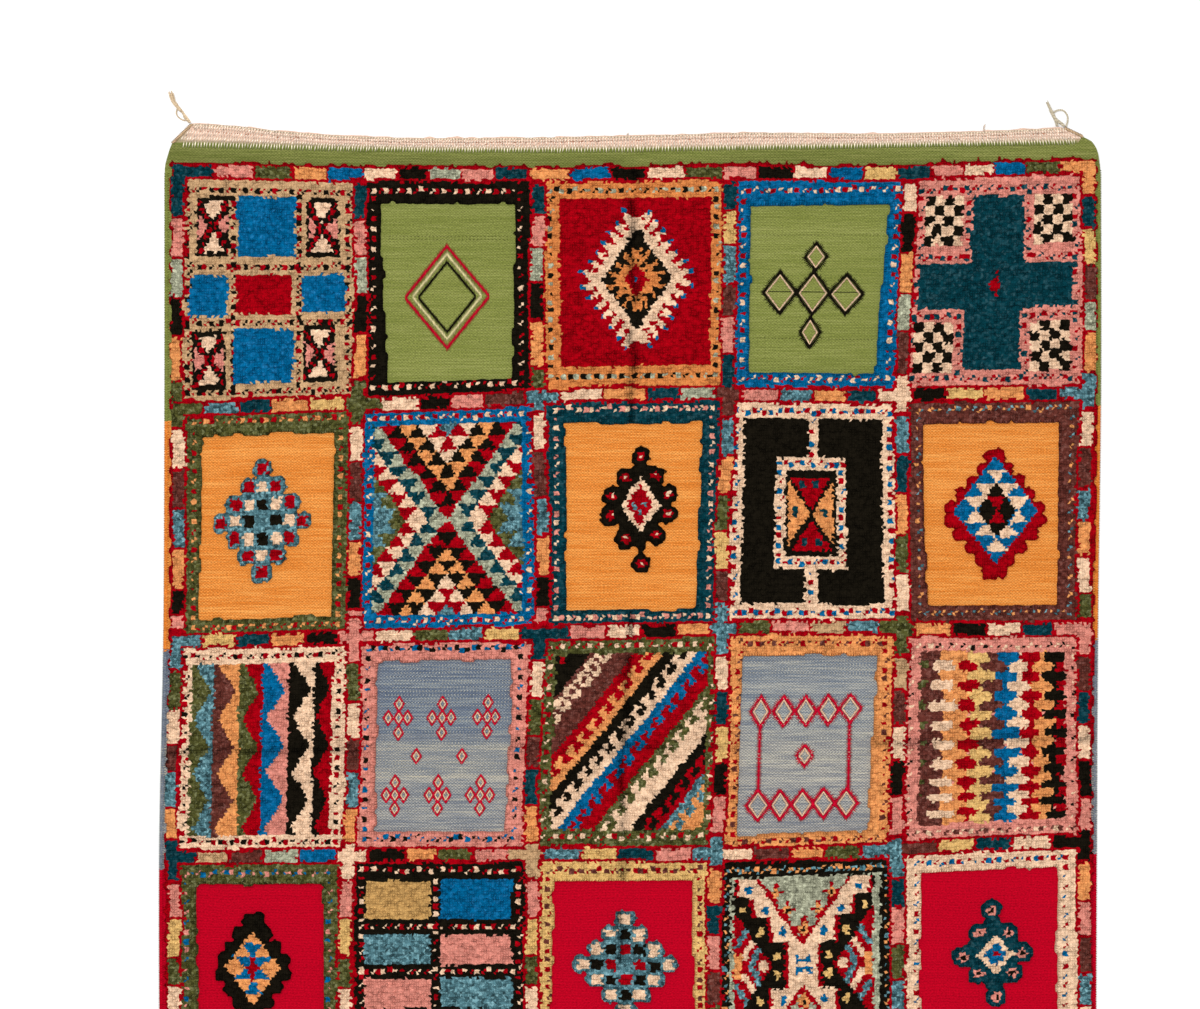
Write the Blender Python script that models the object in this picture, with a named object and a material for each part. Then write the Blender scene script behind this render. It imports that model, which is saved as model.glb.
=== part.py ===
"""A sampler rug, woven in one piece, laid flat on the floor.

A lattice of narrow pile strips parts the rug into five columns and seven rows of panels. The pile
stands up from a flat-woven ground, which shows as sunk fields inside ten kinds of panel, as the
selvedges and as a plain band at each end. A twined heading finishes each end, and the warp that is
left over at the upper corners hangs out as two tails.

Sizes are in millimetres, and the scene is in metres. The rug's length runs along Y, its upper end
towards +Y, its upper face towards +Z, and it rests on z = 0 with its middle at the origin.
"""

import math

import bmesh
import bpy
from mathutils import Vector

MM = 0.001

# The lattice
COLUMNS = 5
ROWS = 7
COLUMN_PITCH = 313
ROW_PITCH = 389
LATTICE_RIGHT = 4.9  # the lattice sits this far to the right of the middle of everything
LATTICE_UP = -36.4  # and this far above it: the tails reach out at the upper end only

# Heights above the floor
WEAVE_TOP = 3.5
PILE_TOP = 10.5
PILE_ROOT = 1.5
HEADING_TOP = 4.5

# Widths, measured from the middle line of the nearest strip of the lattice
PILE_SIDE = 15
PILE_END = 19
LEFT_SELVEDGE = 23
RIGHT_SELVEDGE = 20
END_BAND = 37
GAP = 0.3

# How far each crossing of the lattice has wandered from its even place, in millimetres.
# One line for each strip from the upper end, one value for each upright from the left.
DRIFT_RIGHT = (
    (2, 1, -8, 8, 6, 0),
    (2, -1, -5, 5, -13, 0),
    (0, -8, -5, -4, -9, -5),
    (-7, -16, -19, -16, -13, -7),
    (-6, -15, -18, -15, -12, -8),
    (-3, -9, -11, -9, -7, -4),
    (0, -4, -6, -3, -3, -2),
    (1, 0, -3, 2, 2, 0),
)
DRIFT_UP = (
    (6, -1, -3, 1, 6, 11),
    (-17, -8, 2, 7, 5, 9),
    (-21, -13, -9, -4, -4, -2),
    (-8, -6, -6, -3, 7, 19),
    (-2, -4, -3, -6, 4, 15),
    (2, 0, -2, 0, 3, 6),
    (3, -1, 0, 2, 1, -2),
    (-2, 1, 2, 0, -2, -3),
)

# Rows five to seven are rows three, two and one turned upside down, so these tables stop at row
# four. Rows and columns are counted from nought.

# The panels with a flat-woven field: how far the frame of pile reaches in from the strips.
# row, column, left, right, above, below
FIELDS = (
    (0, 1, 41, 38, 50, 38),
    (0, 3, 38, 40, 59, 39),
    (1, 0, 40, 41, 44, 32),
    (1, 2, 39, 42, 46, 33),
    (1, 4, 39, 45, 44, 38),
    (2, 1, 41, 42, 50, 43),
    (2, 3, 36, 46, 49, 33),
    (3, 0, 42, 48, 48, 40),
    (3, 2, 41, 37, 46, 40),
    (3, 4, 38, 39, 49, 40),
)

# The pile figures in those fields. A stepped one lists the half width of each step downwards,
# and a lobed one gives half its width, half its height and its count of lobes.
# row, column, right of the panel's middle, above it, height, half widths
STEPPED_FIGURES = (
    (1, 0, -8, 2, 204, (18, 41, 65, 87, 65, 43, 20)),
    (1, 4, 2, -3, 214, (18, 32, 48, 64, 80, 80, 66, 50, 34, 21)),
    (3, 0, -15, 0, 191, (19, 33, 49, 65, 68, 51, 35, 19)),
    (3, 2, 6, 0, 198, (19, 41, 64, 88, 66, 44, 19)),
)
# row, column, right of the panel's middle, above it, half width, half height, lobes
LOBED_FIGURES = (
    (1, 2, 9, -3, 61, 104, 10),
    (3, 4, 0, 3, 68, 91, 8),
)

# The outer edges of the headings, in columns from the left and millimetres from the end strip
UPPER_HEADING_EDGE = (
    (0.08, 79),
    (0.3, 77),
    (0.55, 70),
    (0.85, 65),
    (1.3, 62),
    (2.0, 64),
    (2.7, 66),
    (3.1, 68),
    (3.8, 62),
    (4.4, 63),
    (4.87, 67),
)
LOWER_HEADING_EDGE = ((0.04, 56), (0.5, 61), (1.5, 63), (2.5, 62), (3.5, 63), (4.5, 61), (4.9, 57))
# The rug's corners, in millimetres right of the last upright and out from the end strip
LEFT_CORNER = ((-23, -6), (-22, 7), (-18, 22), (-14, 35), (-10, 44))
RIGHT_CORNER = ((-10, 50), (4, 43), (12, 33), (16, 20), (18, 5), (20, -10))

# The tails, as points right of and above their roots, with a radius
TAIL_LEFT_ROOT = (21, 80)
TAIL_LEFT_STRANDS = (
    (1.7, ((0, 0), (-6, 9), (-13, 18), (-20, 27), (-26, 34))),
    (1.3, ((-4, 6), (-11, 4), (-20, 9), (-24, 16), (-22, 24), (-18, 27))),
    (3.0, ((-19, 26), (-25, 33), (-31, 42), (-32, 51))),
    (2.6, ((-25, 33), (-32, 38), (-36, 47))),
)
TAIL_RIGHT_ROOT = (-43, 69)
STRAND_RISE = 0.35  # each strand lies this much higher than the one before it
TAIL_RIGHT_STRANDS = (
    (1.7, ((-12, 0), (-15, 10), (-20, 20), (-24, 29))),
    (1.7, ((0, 0), (-7, 6), (-14, 11), (-19, 19))),
    (1.2, ((3, -1), (6, 9), (5, 19), (-2, 27), (-12, 27), (-20, 22))),
    (2.6, ((-22, 25), (-26, 33), (-29, 38))),
)

# Slow waves of the upper face, and the two creases that folding left: where each one lies from
# the middle of the lattice, its depth and its half width
WAVE_HEIGHT = 0.7
CREASE_ALONG = (-3, 2.2, 9)
CREASE_ACROSS = (382, 1.6, 22)
LINES_ACROSS = 15
LINES_ALONG = 21
EDGE_STEPS = 3
FLAT_WITHIN = 0.02  # degrees: faces this near to one plane are joined


def smooth(values, at):
    """The value at a place between listed ones, on a curve through all of them."""
    last = len(values) - 1
    left = max(0, min(last - 1, math.floor(at)))
    part = at - left
    before, start, end, after = (
        values[max(0, min(last, left + step))] for step in (-1, 0, 1, 2)
    )
    if not 0 <= part <= 1:
        return start if part < 0 else end
    slope_in = (end - before) / 2
    slope_out = (after - start) / 2
    square = part * part
    cube = square * part
    return (
        start * (2 * cube - 3 * square + 1)
        + slope_in * (cube - 2 * square + part)
        + end * (3 * square - 2 * cube)
        + slope_out * (cube - square)
    )


def place(column, row):
    """Millimetres on the floor of a place given in columns from the left and rows from the top."""
    drift_right = smooth([smooth(line, column) for line in DRIFT_RIGHT], row)
    drift_up = smooth([smooth(line, column) for line in DRIFT_UP], row)
    x = LATTICE_RIGHT + (column - COLUMNS / 2) * COLUMN_PITCH + drift_right
    y = LATTICE_UP + (ROWS / 2 - row) * ROW_PITCH + drift_up
    return x, y


def beside(column, row, right, above):
    """The place that lies so many millimetres right of and above a place of the lattice."""
    return place(column + right / COLUMN_PITCH, row - above / ROW_PITCH)


def frame_outline(left, right, top, bottom, steps):
    """A four-sided outline that follows the lattice, its sides given in columns and rows."""
    corners = ((left, top), (right, top), (right, bottom), (left, bottom))
    outline = []
    for (x0, y0), (x1, y1) in zip(corners, corners[1:] + corners[:1]):
        for step in range(steps):
            part = step / steps
            outline.append(place(x0 + (x1 - x0) * part, y0 + (y1 - y0) * part))
    return outline


def with_mirrored(lines, turn_over):
    """The lines of a table, then those of its rows above the middle one, turned upside down."""
    upper = [line for line in lines if line[0] < ROWS // 2]
    return list(lines) + [turn_over(ROWS - 1 - row, *rest) for row, *rest in upper]


def turned_field(row, column, left, right, above, below):
    return row, column, left, right, below, above


def turned_steps(row, column, right, above, height, half_widths):
    return row, column, right, -above, height, half_widths[::-1]


def turned_lobes(row, column, right, above, *sizes):
    return row, column, right, -above, *sizes


def field_outline(row, column, left, right, above, below):
    """The edge of a flat field, which follows the lattice."""
    return frame_outline(
        column + left / COLUMN_PITCH,
        column + 1 - right / COLUMN_PITCH,
        row + above / ROW_PITCH,
        row + 1 - below / ROW_PITCH,
        EDGE_STEPS,
    )


def stepped_outline(row, column, right, above, height, half_widths):
    """A lozenge with stepped sides."""
    step = height / len(half_widths)
    side = []
    for index, half_width in enumerate(half_widths):
        top = above + height / 2 - index * step
        side += [(half_width, top), (half_width, top - step)]
    outline = side + [(-x, y) for x, y in reversed(side)]
    distinct = [point for index, point in enumerate(outline) if point != outline[index - 1]]
    return [beside(column + 0.5, row + 0.5, right + x, y) for x, y in distinct]


def lobed_outline(row, column, right, above, half_width, half_height, lobes):
    """A lozenge whose edge swells into rounded lobes."""
    outline = []
    points = lobes * 6
    for index in range(points):
        turn = 2 * math.pi * index / points + math.pi / 2
        across = math.cos(turn)
        along = math.sin(turn)
        reach = (abs(across) ** 1.2 + abs(along) ** 1.2) ** (-1 / 1.2)
        reach *= 0.93 + 0.07 * math.cos(lobes * (turn - math.pi / 2))
        x = right + half_width * across * reach
        y = above + half_height * along * reach
        outline.append(beside(column + 0.5, row + 0.5, x, y))
    return outline


def end_edge(distance, first, last, row, side):
    """Points at one distance out from an end strip, between two columns."""
    count = 2 * COLUMNS
    columns = [first + (last - first) * step / count for step in range(count + 1)]
    return [place(column, row - side * distance / ROW_PITCH) for column in columns]


def corner(points, column, row, side):
    return [beside(column, row, x, side * y) for x, y in points]


def rug_outline():
    """The cloth's edge without its headings, clockwise from the upper left corner."""
    upper = corner(LEFT_CORNER, 0, 0, 1)
    upper += end_edge(END_BAND, 0.06, 4.93, 0, 1)
    upper += corner(RIGHT_CORNER, COLUMNS, 0, 1)
    lower = corner(LEFT_CORNER, 0, ROWS, -1)
    lower += end_edge(END_BAND, 0.06, 4.93, ROWS, -1)
    lower += corner(RIGHT_CORNER, COLUMNS, ROWS, -1)
    rows = [row / 2 for row in range(1, 2 * ROWS)]
    right = [beside(COLUMNS, row, RIGHT_SELVEDGE, 0) for row in rows]
    left = [beside(0, row, -LEFT_SELVEDGE, 0) for row in reversed(rows)]
    return upper + right + lower[::-1] + left


def heading_outline(row, side, edge):
    """A twined heading: its inner edge beside the end band, its outer edge from its table."""
    inner = end_edge(END_BAND + GAP, 0.06, 4.93, row, side)
    left_end = corner(((-9.4, 44.6),), 0, row, side)
    right_end = corner(((-10.4, 50.5),), COLUMNS, row, side)
    outer = [place(column, row - side * out / ROW_PITCH) for column, out in edge]
    return left_end + outer + right_end + inner[::-1]


def pile_outline():
    return frame_outline(
        -PILE_SIDE / COLUMN_PITCH,
        COLUMNS + PILE_SIDE / COLUMN_PITCH,
        -PILE_END / ROW_PITCH,
        ROWS + PILE_END / ROW_PITCH,
        2 * ROWS,
    )


def mesh_object(name, source):
    """The evaluated shape of an object as a plain mesh object, which takes its place."""
    graph = bpy.context.evaluated_depsgraph_get()
    mesh = bpy.data.meshes.new_from_object(source.evaluated_get(graph))
    mesh.transform(source.matrix_world)
    bpy.data.objects.remove(source)
    welded = bmesh.new()
    welded.from_mesh(mesh)
    bmesh.ops.remove_doubles(welded, verts=welded.verts, dist=0.02 * MM)
    bmesh.ops.recalc_face_normals(welded, faces=welded.faces)
    welded.to_mesh(mesh)
    welded.free()
    result = bpy.data.objects.new(name, mesh)
    bpy.context.collection.objects.link(result)
    return result


def flat_solid(name, outlines, low, high):
    """Outlines filled and given thickness. An outline inside another one is a hole in it."""
    curve = bpy.data.curves.new(name, "CURVE")
    curve.dimensions = "2D"
    curve.fill_mode = "BOTH"
    curve.extrude = (high - low) / 2 * MM
    for outline in outlines:
        spline = curve.splines.new("POLY")
        spline.points.add(len(outline) - 1)
        spline.use_cyclic_u = True
        for point, (x, y) in zip(spline.points, outline):
            point.co = (x * MM, y * MM, 0, 1)
    shape = bpy.data.objects.new(name, curve)
    shape.location.z = (low + high) / 2 * MM
    bpy.context.collection.objects.link(shape)
    bpy.context.view_layer.update()
    return mesh_object(name, shape)


def strand(points, radius, rise):
    """A strand of yarn, its underside so far above the floor: a tube along smoothed points."""
    curve = bpy.data.curves.new("strand", "CURVE")
    curve.dimensions = "3D"
    curve.bevel_depth = radius * MM
    curve.bevel_resolution = 1
    curve.use_fill_caps = True
    spline = curve.splines.new("POLY")
    count = 2 * (len(points) - 1)
    spline.points.add(count)
    for step, point in enumerate(spline.points):
        at = step / 2
        x = smooth([x for x, _ in points], at)
        y = smooth([y for _, y in points], at)
        point.co = (x * MM, y * MM, (radius + rise) * MM, 1)
    shape = bpy.data.objects.new("strand", curve)
    bpy.context.collection.objects.link(shape)
    bpy.context.view_layer.update()
    return mesh_object("strand", shape)


def fuse(target, others):
    """Joins solids into one with Boolean unions."""
    for other in others:
        union = target.modifiers.new("union", "BOOLEAN")
        union.operation = "UNION"
        union.solver = "EXACT"
        union.object = other
        bpy.context.view_layer.update()
        target = mesh_object(target.name, target)
        bpy.data.objects.remove(other)
    return target


def lift(x, y):
    """How far the upper face stands above its even height: slow waves, less the creases."""
    wave = math.sin(x / 130 + 0.8) * math.cos(y / 170 + 0.4)
    wave += 0.6 * math.sin(x / 61 - y / 97)
    dip = 0
    for distance, (at, depth, reach) in (
        (x - LATTICE_RIGHT, CREASE_ALONG),
        (y - LATTICE_UP, CREASE_ACROSS),
    ):
        dip += depth * math.exp(-(((distance - at) / reach) ** 2))
    return WAVE_HEIGHT * wave - dip


def cut_places(middle, length, count, crease):
    """Where the net's lines lie along one direction: evenly, and closer over the crease."""
    places = [middle + length * (n / count - 0.5) for n in range(1, count)]
    at, _, reach = crease
    return places + [middle + at + side * reach for side in (-1.8, 0, 1.8)]


def lay_unevenly(solid):
    """Cuts the upper face into a net of lines and lifts or sinks its points."""
    width = COLUMNS * COLUMN_PITCH
    length = ROWS * ROW_PITCH
    across = cut_places(LATTICE_RIGHT, width, LINES_ACROSS, CREASE_ALONG)
    along = cut_places(LATTICE_UP, length, LINES_ALONG, CREASE_ACROSS)
    cuts = [(Vector((x * MM, 0, 0)), Vector((1, 0, 0))) for x in across]
    cuts += [(Vector((0, y * MM, 0)), Vector((0, 1, 0))) for y in along]
    flat = math.radians(FLAT_WITHIN)
    net = bmesh.new()
    net.from_mesh(solid.data)
    bmesh.ops.dissolve_limit(net, angle_limit=flat, verts=net.verts, edges=net.edges)
    for point, normal in cuts:
        geometry = net.verts[:] + net.edges[:] + net.faces[:]
        bmesh.ops.bisect_plane(net, geom=geometry, plane_co=point, plane_no=normal)
    for vertex in net.verts:
        share = vertex.co.z / (PILE_TOP * MM)
        vertex.co.z += share * lift(vertex.co.x / MM, vertex.co.y / MM) * MM
    under = [face for face in net.faces if face.normal.z < -0.99]
    edges = list({edge for face in under for edge in face.edges})
    points = list({vertex for edge in edges for vertex in edge.verts})
    bmesh.ops.dissolve_limit(net, angle_limit=flat, verts=points, edges=edges)
    bmesh.ops.triangulate(net, faces=net.faces)
    net.to_mesh(solid.data)
    net.free()


def yarn(name, colour, roughness):
    material = bpy.data.materials.new(name)
    material.use_nodes = True
    shader = material.node_tree.nodes["Principled BSDF"]
    shader.inputs["Base Color"].default_value = (*colour, 1)
    shader.inputs["Roughness"].default_value = roughness
    shader.inputs["Metallic"].default_value = 0
    return material


def make_rug():
    ground = flat_solid("rug", [rug_outline()], 0, WEAVE_TOP)
    outlines = [pile_outline()]
    outlines += [field_outline(*line) for line in with_mirrored(FIELDS, turned_field)]
    outlines += [
        stepped_outline(*line) for line in with_mirrored(STEPPED_FIGURES, turned_steps)
    ]
    outlines += [lobed_outline(*line) for line in with_mirrored(LOBED_FIGURES, turned_lobes)]
    pile = flat_solid("pile", outlines, PILE_ROOT, PILE_TOP)
    rug = fuse(ground, [pile])
    lay_unevenly(rug)
    rug.data.materials.append(yarn("knotted wool", (0.42, 0.01, 0.03), 0.9))


def make_headings():
    cream = yarn("twined cotton", (0.82, 0.68, 0.58), 0.85)
    for name, row, side, edge in (
        ("heading_top", 0, 1, UPPER_HEADING_EDGE),
        ("heading_bottom", ROWS, -1, LOWER_HEADING_EDGE),
    ):
        heading = flat_solid(name, [heading_outline(row, side, edge)], 0, HEADING_TOP)
        heading.data.materials.append(cream)


def make_tails():
    warp = yarn("loose warp", (0.72, 0.55, 0.40), 0.85)
    for name, column, root, strands in (
        ("tail_left", 0, TAIL_LEFT_ROOT, TAIL_LEFT_STRANDS),
        ("tail_right", COLUMNS, TAIL_RIGHT_ROOT, TAIL_RIGHT_STRANDS),
    ):
        x0, y0 = beside(column, 0, *root)
        tubes = [
            strand([(x0 + x, y0 + y) for x, y in points], radius, index * STRAND_RISE)
            for index, (radius, points) in enumerate(strands)
        ]
        tail = fuse(tubes[0], tubes[1:])
        tail.name = name
        tail.data.materials.append(warp)


for leftover in list(bpy.data.objects):
    bpy.data.objects.remove(leftover)
make_rug()
make_headings()
make_tails()
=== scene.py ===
"""The look of a sampler rug that was woven in one piece and lies flat on a pale floor.

The pile is a relief of knots laid out on a chart: ACROSS by ALONG knots to a panel. Every panel's
figure is drawn on the chart with plain shapes, in millimetres right of and below the panel's
middle. The flat-woven ground, the headings, the wrapped edges, the laid-in stitches and the loose
warp are pieces of their own. Sizes are in millimetres and are turned into metres at the end.
"""

import math

import bpy
import numpy as np
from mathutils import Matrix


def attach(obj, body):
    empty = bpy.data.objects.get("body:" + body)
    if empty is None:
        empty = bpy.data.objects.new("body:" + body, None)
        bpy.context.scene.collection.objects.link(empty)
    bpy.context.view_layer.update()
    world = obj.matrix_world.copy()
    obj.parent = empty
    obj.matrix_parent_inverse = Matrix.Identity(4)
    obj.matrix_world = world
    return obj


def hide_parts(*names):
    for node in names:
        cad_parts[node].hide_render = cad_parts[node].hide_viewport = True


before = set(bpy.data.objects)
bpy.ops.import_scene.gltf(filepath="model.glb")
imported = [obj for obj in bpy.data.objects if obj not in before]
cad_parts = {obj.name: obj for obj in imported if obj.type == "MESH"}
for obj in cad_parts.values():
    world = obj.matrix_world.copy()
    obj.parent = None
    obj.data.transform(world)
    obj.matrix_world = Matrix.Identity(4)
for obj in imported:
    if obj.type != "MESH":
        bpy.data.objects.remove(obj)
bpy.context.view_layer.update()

MM = 0.001
DICE = np.random.default_rng(7)

# The lattice, as in the solids
COLUMNS = 5
ROWS = 7
COLUMN_PITCH = 313
ROW_PITCH = 389
LATTICE_RIGHT = 4.9
LATTICE_UP = -36.4
WEAVE_TOP = 3.5
PILE_TOP = 10.5
PILE_SIDE = 15
PILE_END = 19
LEFT_SELVEDGE = 23
RIGHT_SELVEDGE = 20
END_BAND = 37
GAP = 0.3
HEADING_FOOT = END_BAND + GAP
# The tufts: how far a point between knots lies below the top and how much deeper a hollow
# goes, then how far the highest tip stands out and how much lower others are
NET_BELOW = 0.9
HOLLOW_DEPTH = 2.4
TIP_ABOVE = 0.3
TIP_SCATTER = 1.8
# The lattice's lines of red, its bricks and the joints between them, measured from the middle
RED_HALF = 14.7
BRICK_HALF = 9.2
UPRIGHT_HALF = 9.8
JOINT_HALF = 2.4
# Where a strip's first brick starts, and how far above the next strip an upright's last one ends
STRIP_START = -11
UPRIGHT_END = 14
# Half the width and half the length of a panel's frame
FRAME_HALF = (146, 186)
# The flat weave: its ribs and warps, and how far below a strip its colour changes
RIB_PITCH = 4.8
WARP_PITCH = 5.6
COLOUR_CHANGE = 22
# The cloth's waves, then its creases: where, how deep, how far they reach
WAVE_HEIGHT = 0.7
CREASE_ALONG = (-3, 2.2, 9)
CREASE_ACROSS = (382, 1.6, 22)
# How far the crossings lie right of and above their even places, by row and upright
DRIFT_RIGHT = (
    (2, 1, -8, 8, 6, 0),
    (2, -1, -5, 5, -13, 0),
    (0, -8, -5, -4, -9, -5),
    (-7, -16, -19, -16, -13, -7),
    (-6, -15, -18, -15, -12, -8),
    (-3, -9, -11, -9, -7, -4),
    (0, -4, -6, -3, -3, -2),
    (1, 0, -3, 2, 2, 0),
)
DRIFT_UP = (
    (6, -1, -3, 1, 6, 11),
    (-17, -8, 2, 7, 5, 9),
    (-21, -13, -9, -4, -4, -2),
    (-8, -6, -6, -3, 7, 19),
    (-2, -4, -3, -6, 4, 15),
    (2, 0, -2, 0, 3, 6),
    (3, -1, 0, 2, 1, -2),
    (-2, 1, 2, 0, -2, -3),
)

# The camera looks straight down from here, in metres
CAMERA_PLACE = (-0.0516, 0.7555, 4.864)

# Knots to a panel, and in the pile beyond the outermost strips
ACROSS = 75
ALONG = 90
SIDE_KNOTS = 4
END_KNOTS = 5
# How many knots before the fifth row the mirrored part begins, so that it brings its strip
STRIP_KNOTS = 8

# Yarns by letter: their colours as they look in soft light
YARNS = {
    "T": (5, 57, 67),  # teal
    "B": (0, 95, 142),  # blue
    "S": (83, 124, 133),  # steel
    "P": (210, 134, 119),  # pink
    "H": (190, 154, 114),  # tan
    "A": (161, 162, 138),  # sage
    "O": (220, 147, 87),  # orange
    "M": (214, 174, 108),  # mustard
    "N": (98, 48, 40),  # brown
    "K": (22, 18, 11),  # black
    "C": (228, 193, 161),  # cream
    "R": (157, 0, 15),  # red
    "G": (83, 83, 41),  # green
    "Y": (190, 149, 90),  # khaki
    "F": (196, 10, 44),  # scarlet
    "W": (196, 196, 186),  # pale grey
    "D": (208, 129, 70),  # deep orange
    "E": (224, 212, 158),  # straw
}
LETTERS = "".join(YARNS)
FLAT = -1
# How much a yarn's tone scatters from knot to knot
PLAIN_HEATHER = 0.06
HEATHERED = {"S": 0.42, "A": 0.22, "G": 0.30, "N": 0.20, "B": 0.11, "T": 0.16}

# The flat-woven parts by row: the yarn of the fields and selvedges, and a second one that shows
# in streaks. Then the yarns of the ends.
FIELD_COLOURS = ((126, 134, 64), (227, 130, 49), (120, 128, 140), (193, 3, 34))
SECOND_COLOURS = ((142, 146, 82), (235, 159, 82), (180, 178, 168), (188, 3, 32))
END_COLOURS = ((114, 122, 58), (136, 138, 78))
# The third row's two fields change their grey downwards: part of the row, then for the left and
# the right one the first and the second yarn
GREY_ROW = 2
GREY_ZONES = (
    (0.00, (98, 110, 130), (142, 148, 150), (112, 123, 138), (168, 166, 158)),
    (0.44, (98, 110, 130), (142, 148, 150), (122, 130, 141), (176, 174, 163)),
    (0.50, (128, 134, 142), (190, 182, 162), (136, 138, 142), (188, 182, 166)),
    (0.62, (128, 134, 142), (188, 180, 160), (136, 138, 142), (188, 182, 166)),
    (0.70, (122, 128, 138), (176, 172, 160), (126, 130, 138), (184, 178, 164)),
    (1.00, (122, 128, 138), (176, 172, 160), (126, 130, 138), (182, 176, 162)),
)

# The flat fields by row and column: how far the frame of pile reaches in from the strips on the
# left and right, above and below, and how the left and right edges lean
FIELDS = {
    (0, 1): (43, 41, 51, 35, 0.04, -0.03), (0, 3): (38, 39, 60, 38, 0.01, -0.03),
    (1, 0): (41, 41, 46, 32, -0.01, 0), (1, 2): (45, 44, 46, 33, 0.01, -0.01),
    (1, 4): (43, 50, 47, 39, 0.01, 0), (2, 1): (43, 44, 49, 43, 0.01, 0),
    (2, 3): (38, 48, 46, 33, 0, -0.04), (3, 0): (44, 47, 49, 40, 0.02, 0),
    (3, 2): (38, 36, 43, 40, -0.02, 0.02), (3, 4): (36, 47, 44, 40, -0.01, 0),
}

# The bricks of the strips across: yarns, then lengths from the left edge of the first
STRIPS = (
    ("TPGOBCKAPTOBKCGPKCBMTPCBGO",
     (73, 68, 67, 60, 62, 61, 54, 60, 60, 58, 69, 65, 59, 63, 60, 60, 60, 60, 62, 60, 60, 55, 54,
      53, 63, 64)),
    ("GSTOMGCKPNSCOTANPSOTCKMOTS",
     (53, 62, 59, 64, 65, 61, 66, 55, 58, 71, 58, 74, 67, 58, 57, 45, 71, 60, 66, 54, 62, 57, 63,
      64, 54, 59)),
    ("SMTOKPCGSMTPCKOSGPHSGOKCTP",
     (56, 61, 59, 62, 58, 64, 65, 58, 61, 64, 81, 66, 57, 60, 55, 52, 57, 66, 65, 58, 59, 64, 59,
      56, 58, 66)),
    ("THNABCKOGPHSMTPSCNOGSNMTCK",
     (54, 58, 59, 62, 67, 56, 66, 54, 61, 61, 59, 68, 59, 64, 60, 51, 56, 63, 59, 60, 70, 63, 59,
      64, 65, 67)),
)
# Where a brick at a crossing has arms: strip, upright, yarn, reach up, reach down
ARMS = (
    (0, 0, "T", 0, 76), (0, 5, "O", 0, 46),
    (1, 0, "G", 0, 30), (1, 1, "G", 40, 30), (1, 2, "S", 0, 24), (1, 3, "N", 0, 34),
    (1, 4, "C", 34, 28), (1, 5, "S", 34, 26),
    (2, 0, "S", 0, 48), (2, 1, "P", 34, 40), (2, 2, "T", 0, 45), (2, 3, "S", 36, 44),
    (2, 4, "G", 20, 44), (2, 5, "P", 0, 42),
    (3, 0, "T", 30, 40), (3, 1, "C", 22, 42), (3, 2, "H", 18, 42), (3, 3, "S", 30, 20),
    (3, 4, "S", 18, 46), (3, 5, "K", 20, 34),
)
# The bricks of the uprights: row, upright, yarns downwards, then where each one starts
UPRIGHTS = (
    (0, 0, "TPAKOG", (17, 75, 140, 204, 270, 340)),
    (0, 1, "TPAKOG", (17, 76, 136, 202, 268, 343)),
    (0, 2, "TPAKOG", (17, 71, 127, 189, 256, 334)),
    (0, 3, "TMSNPT", (17, 67, 127, 196, 250, 316)),
    (0, 4, "CKOANC", (17, 71, 138, 208, 273, 345)),
    (0, 5, "OTMNAO", (0, 50, 106, 166, 228, 284)),
    (1, 0, "CNSOKP", (34, 100, 166, 236, 304, 346)),
    (1, 1, "CNSOKP", (34, 97, 164, 232, 295, 348)),
    (1, 2, "CNSOKP", (27, 91, 165, 231, 298, 350)),
    (1, 3, "SOGMNS", (38, 104, 165, 228, 292, 345)),
    (1, 4, "STOGCG", (33, 98, 163, 231, 296, 363)),
    (1, 5, "CNSOCG", (30, 90, 158, 212, 270, 330)),
    (2, 0, "GCNSOT", (52, 120, 183, 230, 296, 355)),
    (2, 1, "GCNSOC", (43, 114, 176, 234, 298, 366)),
    (2, 2, "CGNTOH", (48, 112, 176, 230, 297, 368)),
    (2, 3, "CTMKPS", (48, 104, 166, 230, 287, 352)),
    (2, 4, "HNCKPS", (48, 108, 169, 234, 296, 365)),
    (2, 5, "NTCKPK", (46, 112, 170, 238, 305, 366)),
    (3, 0, "PMGCNS", (45, 108, 175, 222, 282, 345)),
    (3, 1, "PMGCNS", (45, 108, 175, 228, 288, 345)),
    (3, 2, "PMGCNS", (45, 108, 175, 228, 288, 345)),
    (3, 3, "OTPNGC", (25, 85, 138, 198, 258, 320)),
    (3, 4, "TPGSON", (50, 99, 163, 224, 276, 335)),
    (3, 5, "OPNSCG", (38, 103, 164, 224, 280, 338)),
)
# How far a strip bends down from its even line, by column; an upright to the right, by row
STRIP_PLACES = (0.28, 0.72, 1.28, 1.72, 2.28, 2.72, 3.28, 3.72, 4.28, 4.72)
STRIP_BENDS = (
    (3, 3, 0, 0, 1, 0, 3, 6, 6, 2),
    (0, -2, 3, 2, -5, -3, 0, 0, -3, -2),
    (5, 7, 5, 3, 3, 2, -2, -3, 2, 3),
    (0, -2, -3, -3, -5, -3, 0, 2, -3, -2),
)
UPRIGHT_PLACES = (0.24, 0.5, 0.76, 1.24, 1.5, 1.76, 2.24, 2.5, 2.76, 3.24, 3.45)
UPRIGHT_BENDS = (
    (0, -2, -3, 2, 3, 3, -2, -5, -7, 5, 3),
    (0, 4, 4, -5, -2, -3, 0, 3, 3, -7, -8),
    (2, -3, -2, 0, 5, 7, 0, -2, -2, 6, 3),
    (2, 2, 0, 2, -4, -2, 3, 6, 6, -2, -2),
    (0, 3, 2, 6, 3, 3, -2, -3, -5, -3, -2),
    (-2, 2, 2, -5, -7, -5, -3, -2, 0, -2, 2),
)

# The cloth's corners: how far out from the last strip, then how far right of the outer upright
LEFT_CORNER = ((-6, -23), (7, -22), (22, -18), (35, -14), (44, -10))
RIGHT_CORNER = ((-10, 20), (5, 18), (20, 16), (33, 12), (43, 4), (50, -10))
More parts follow.
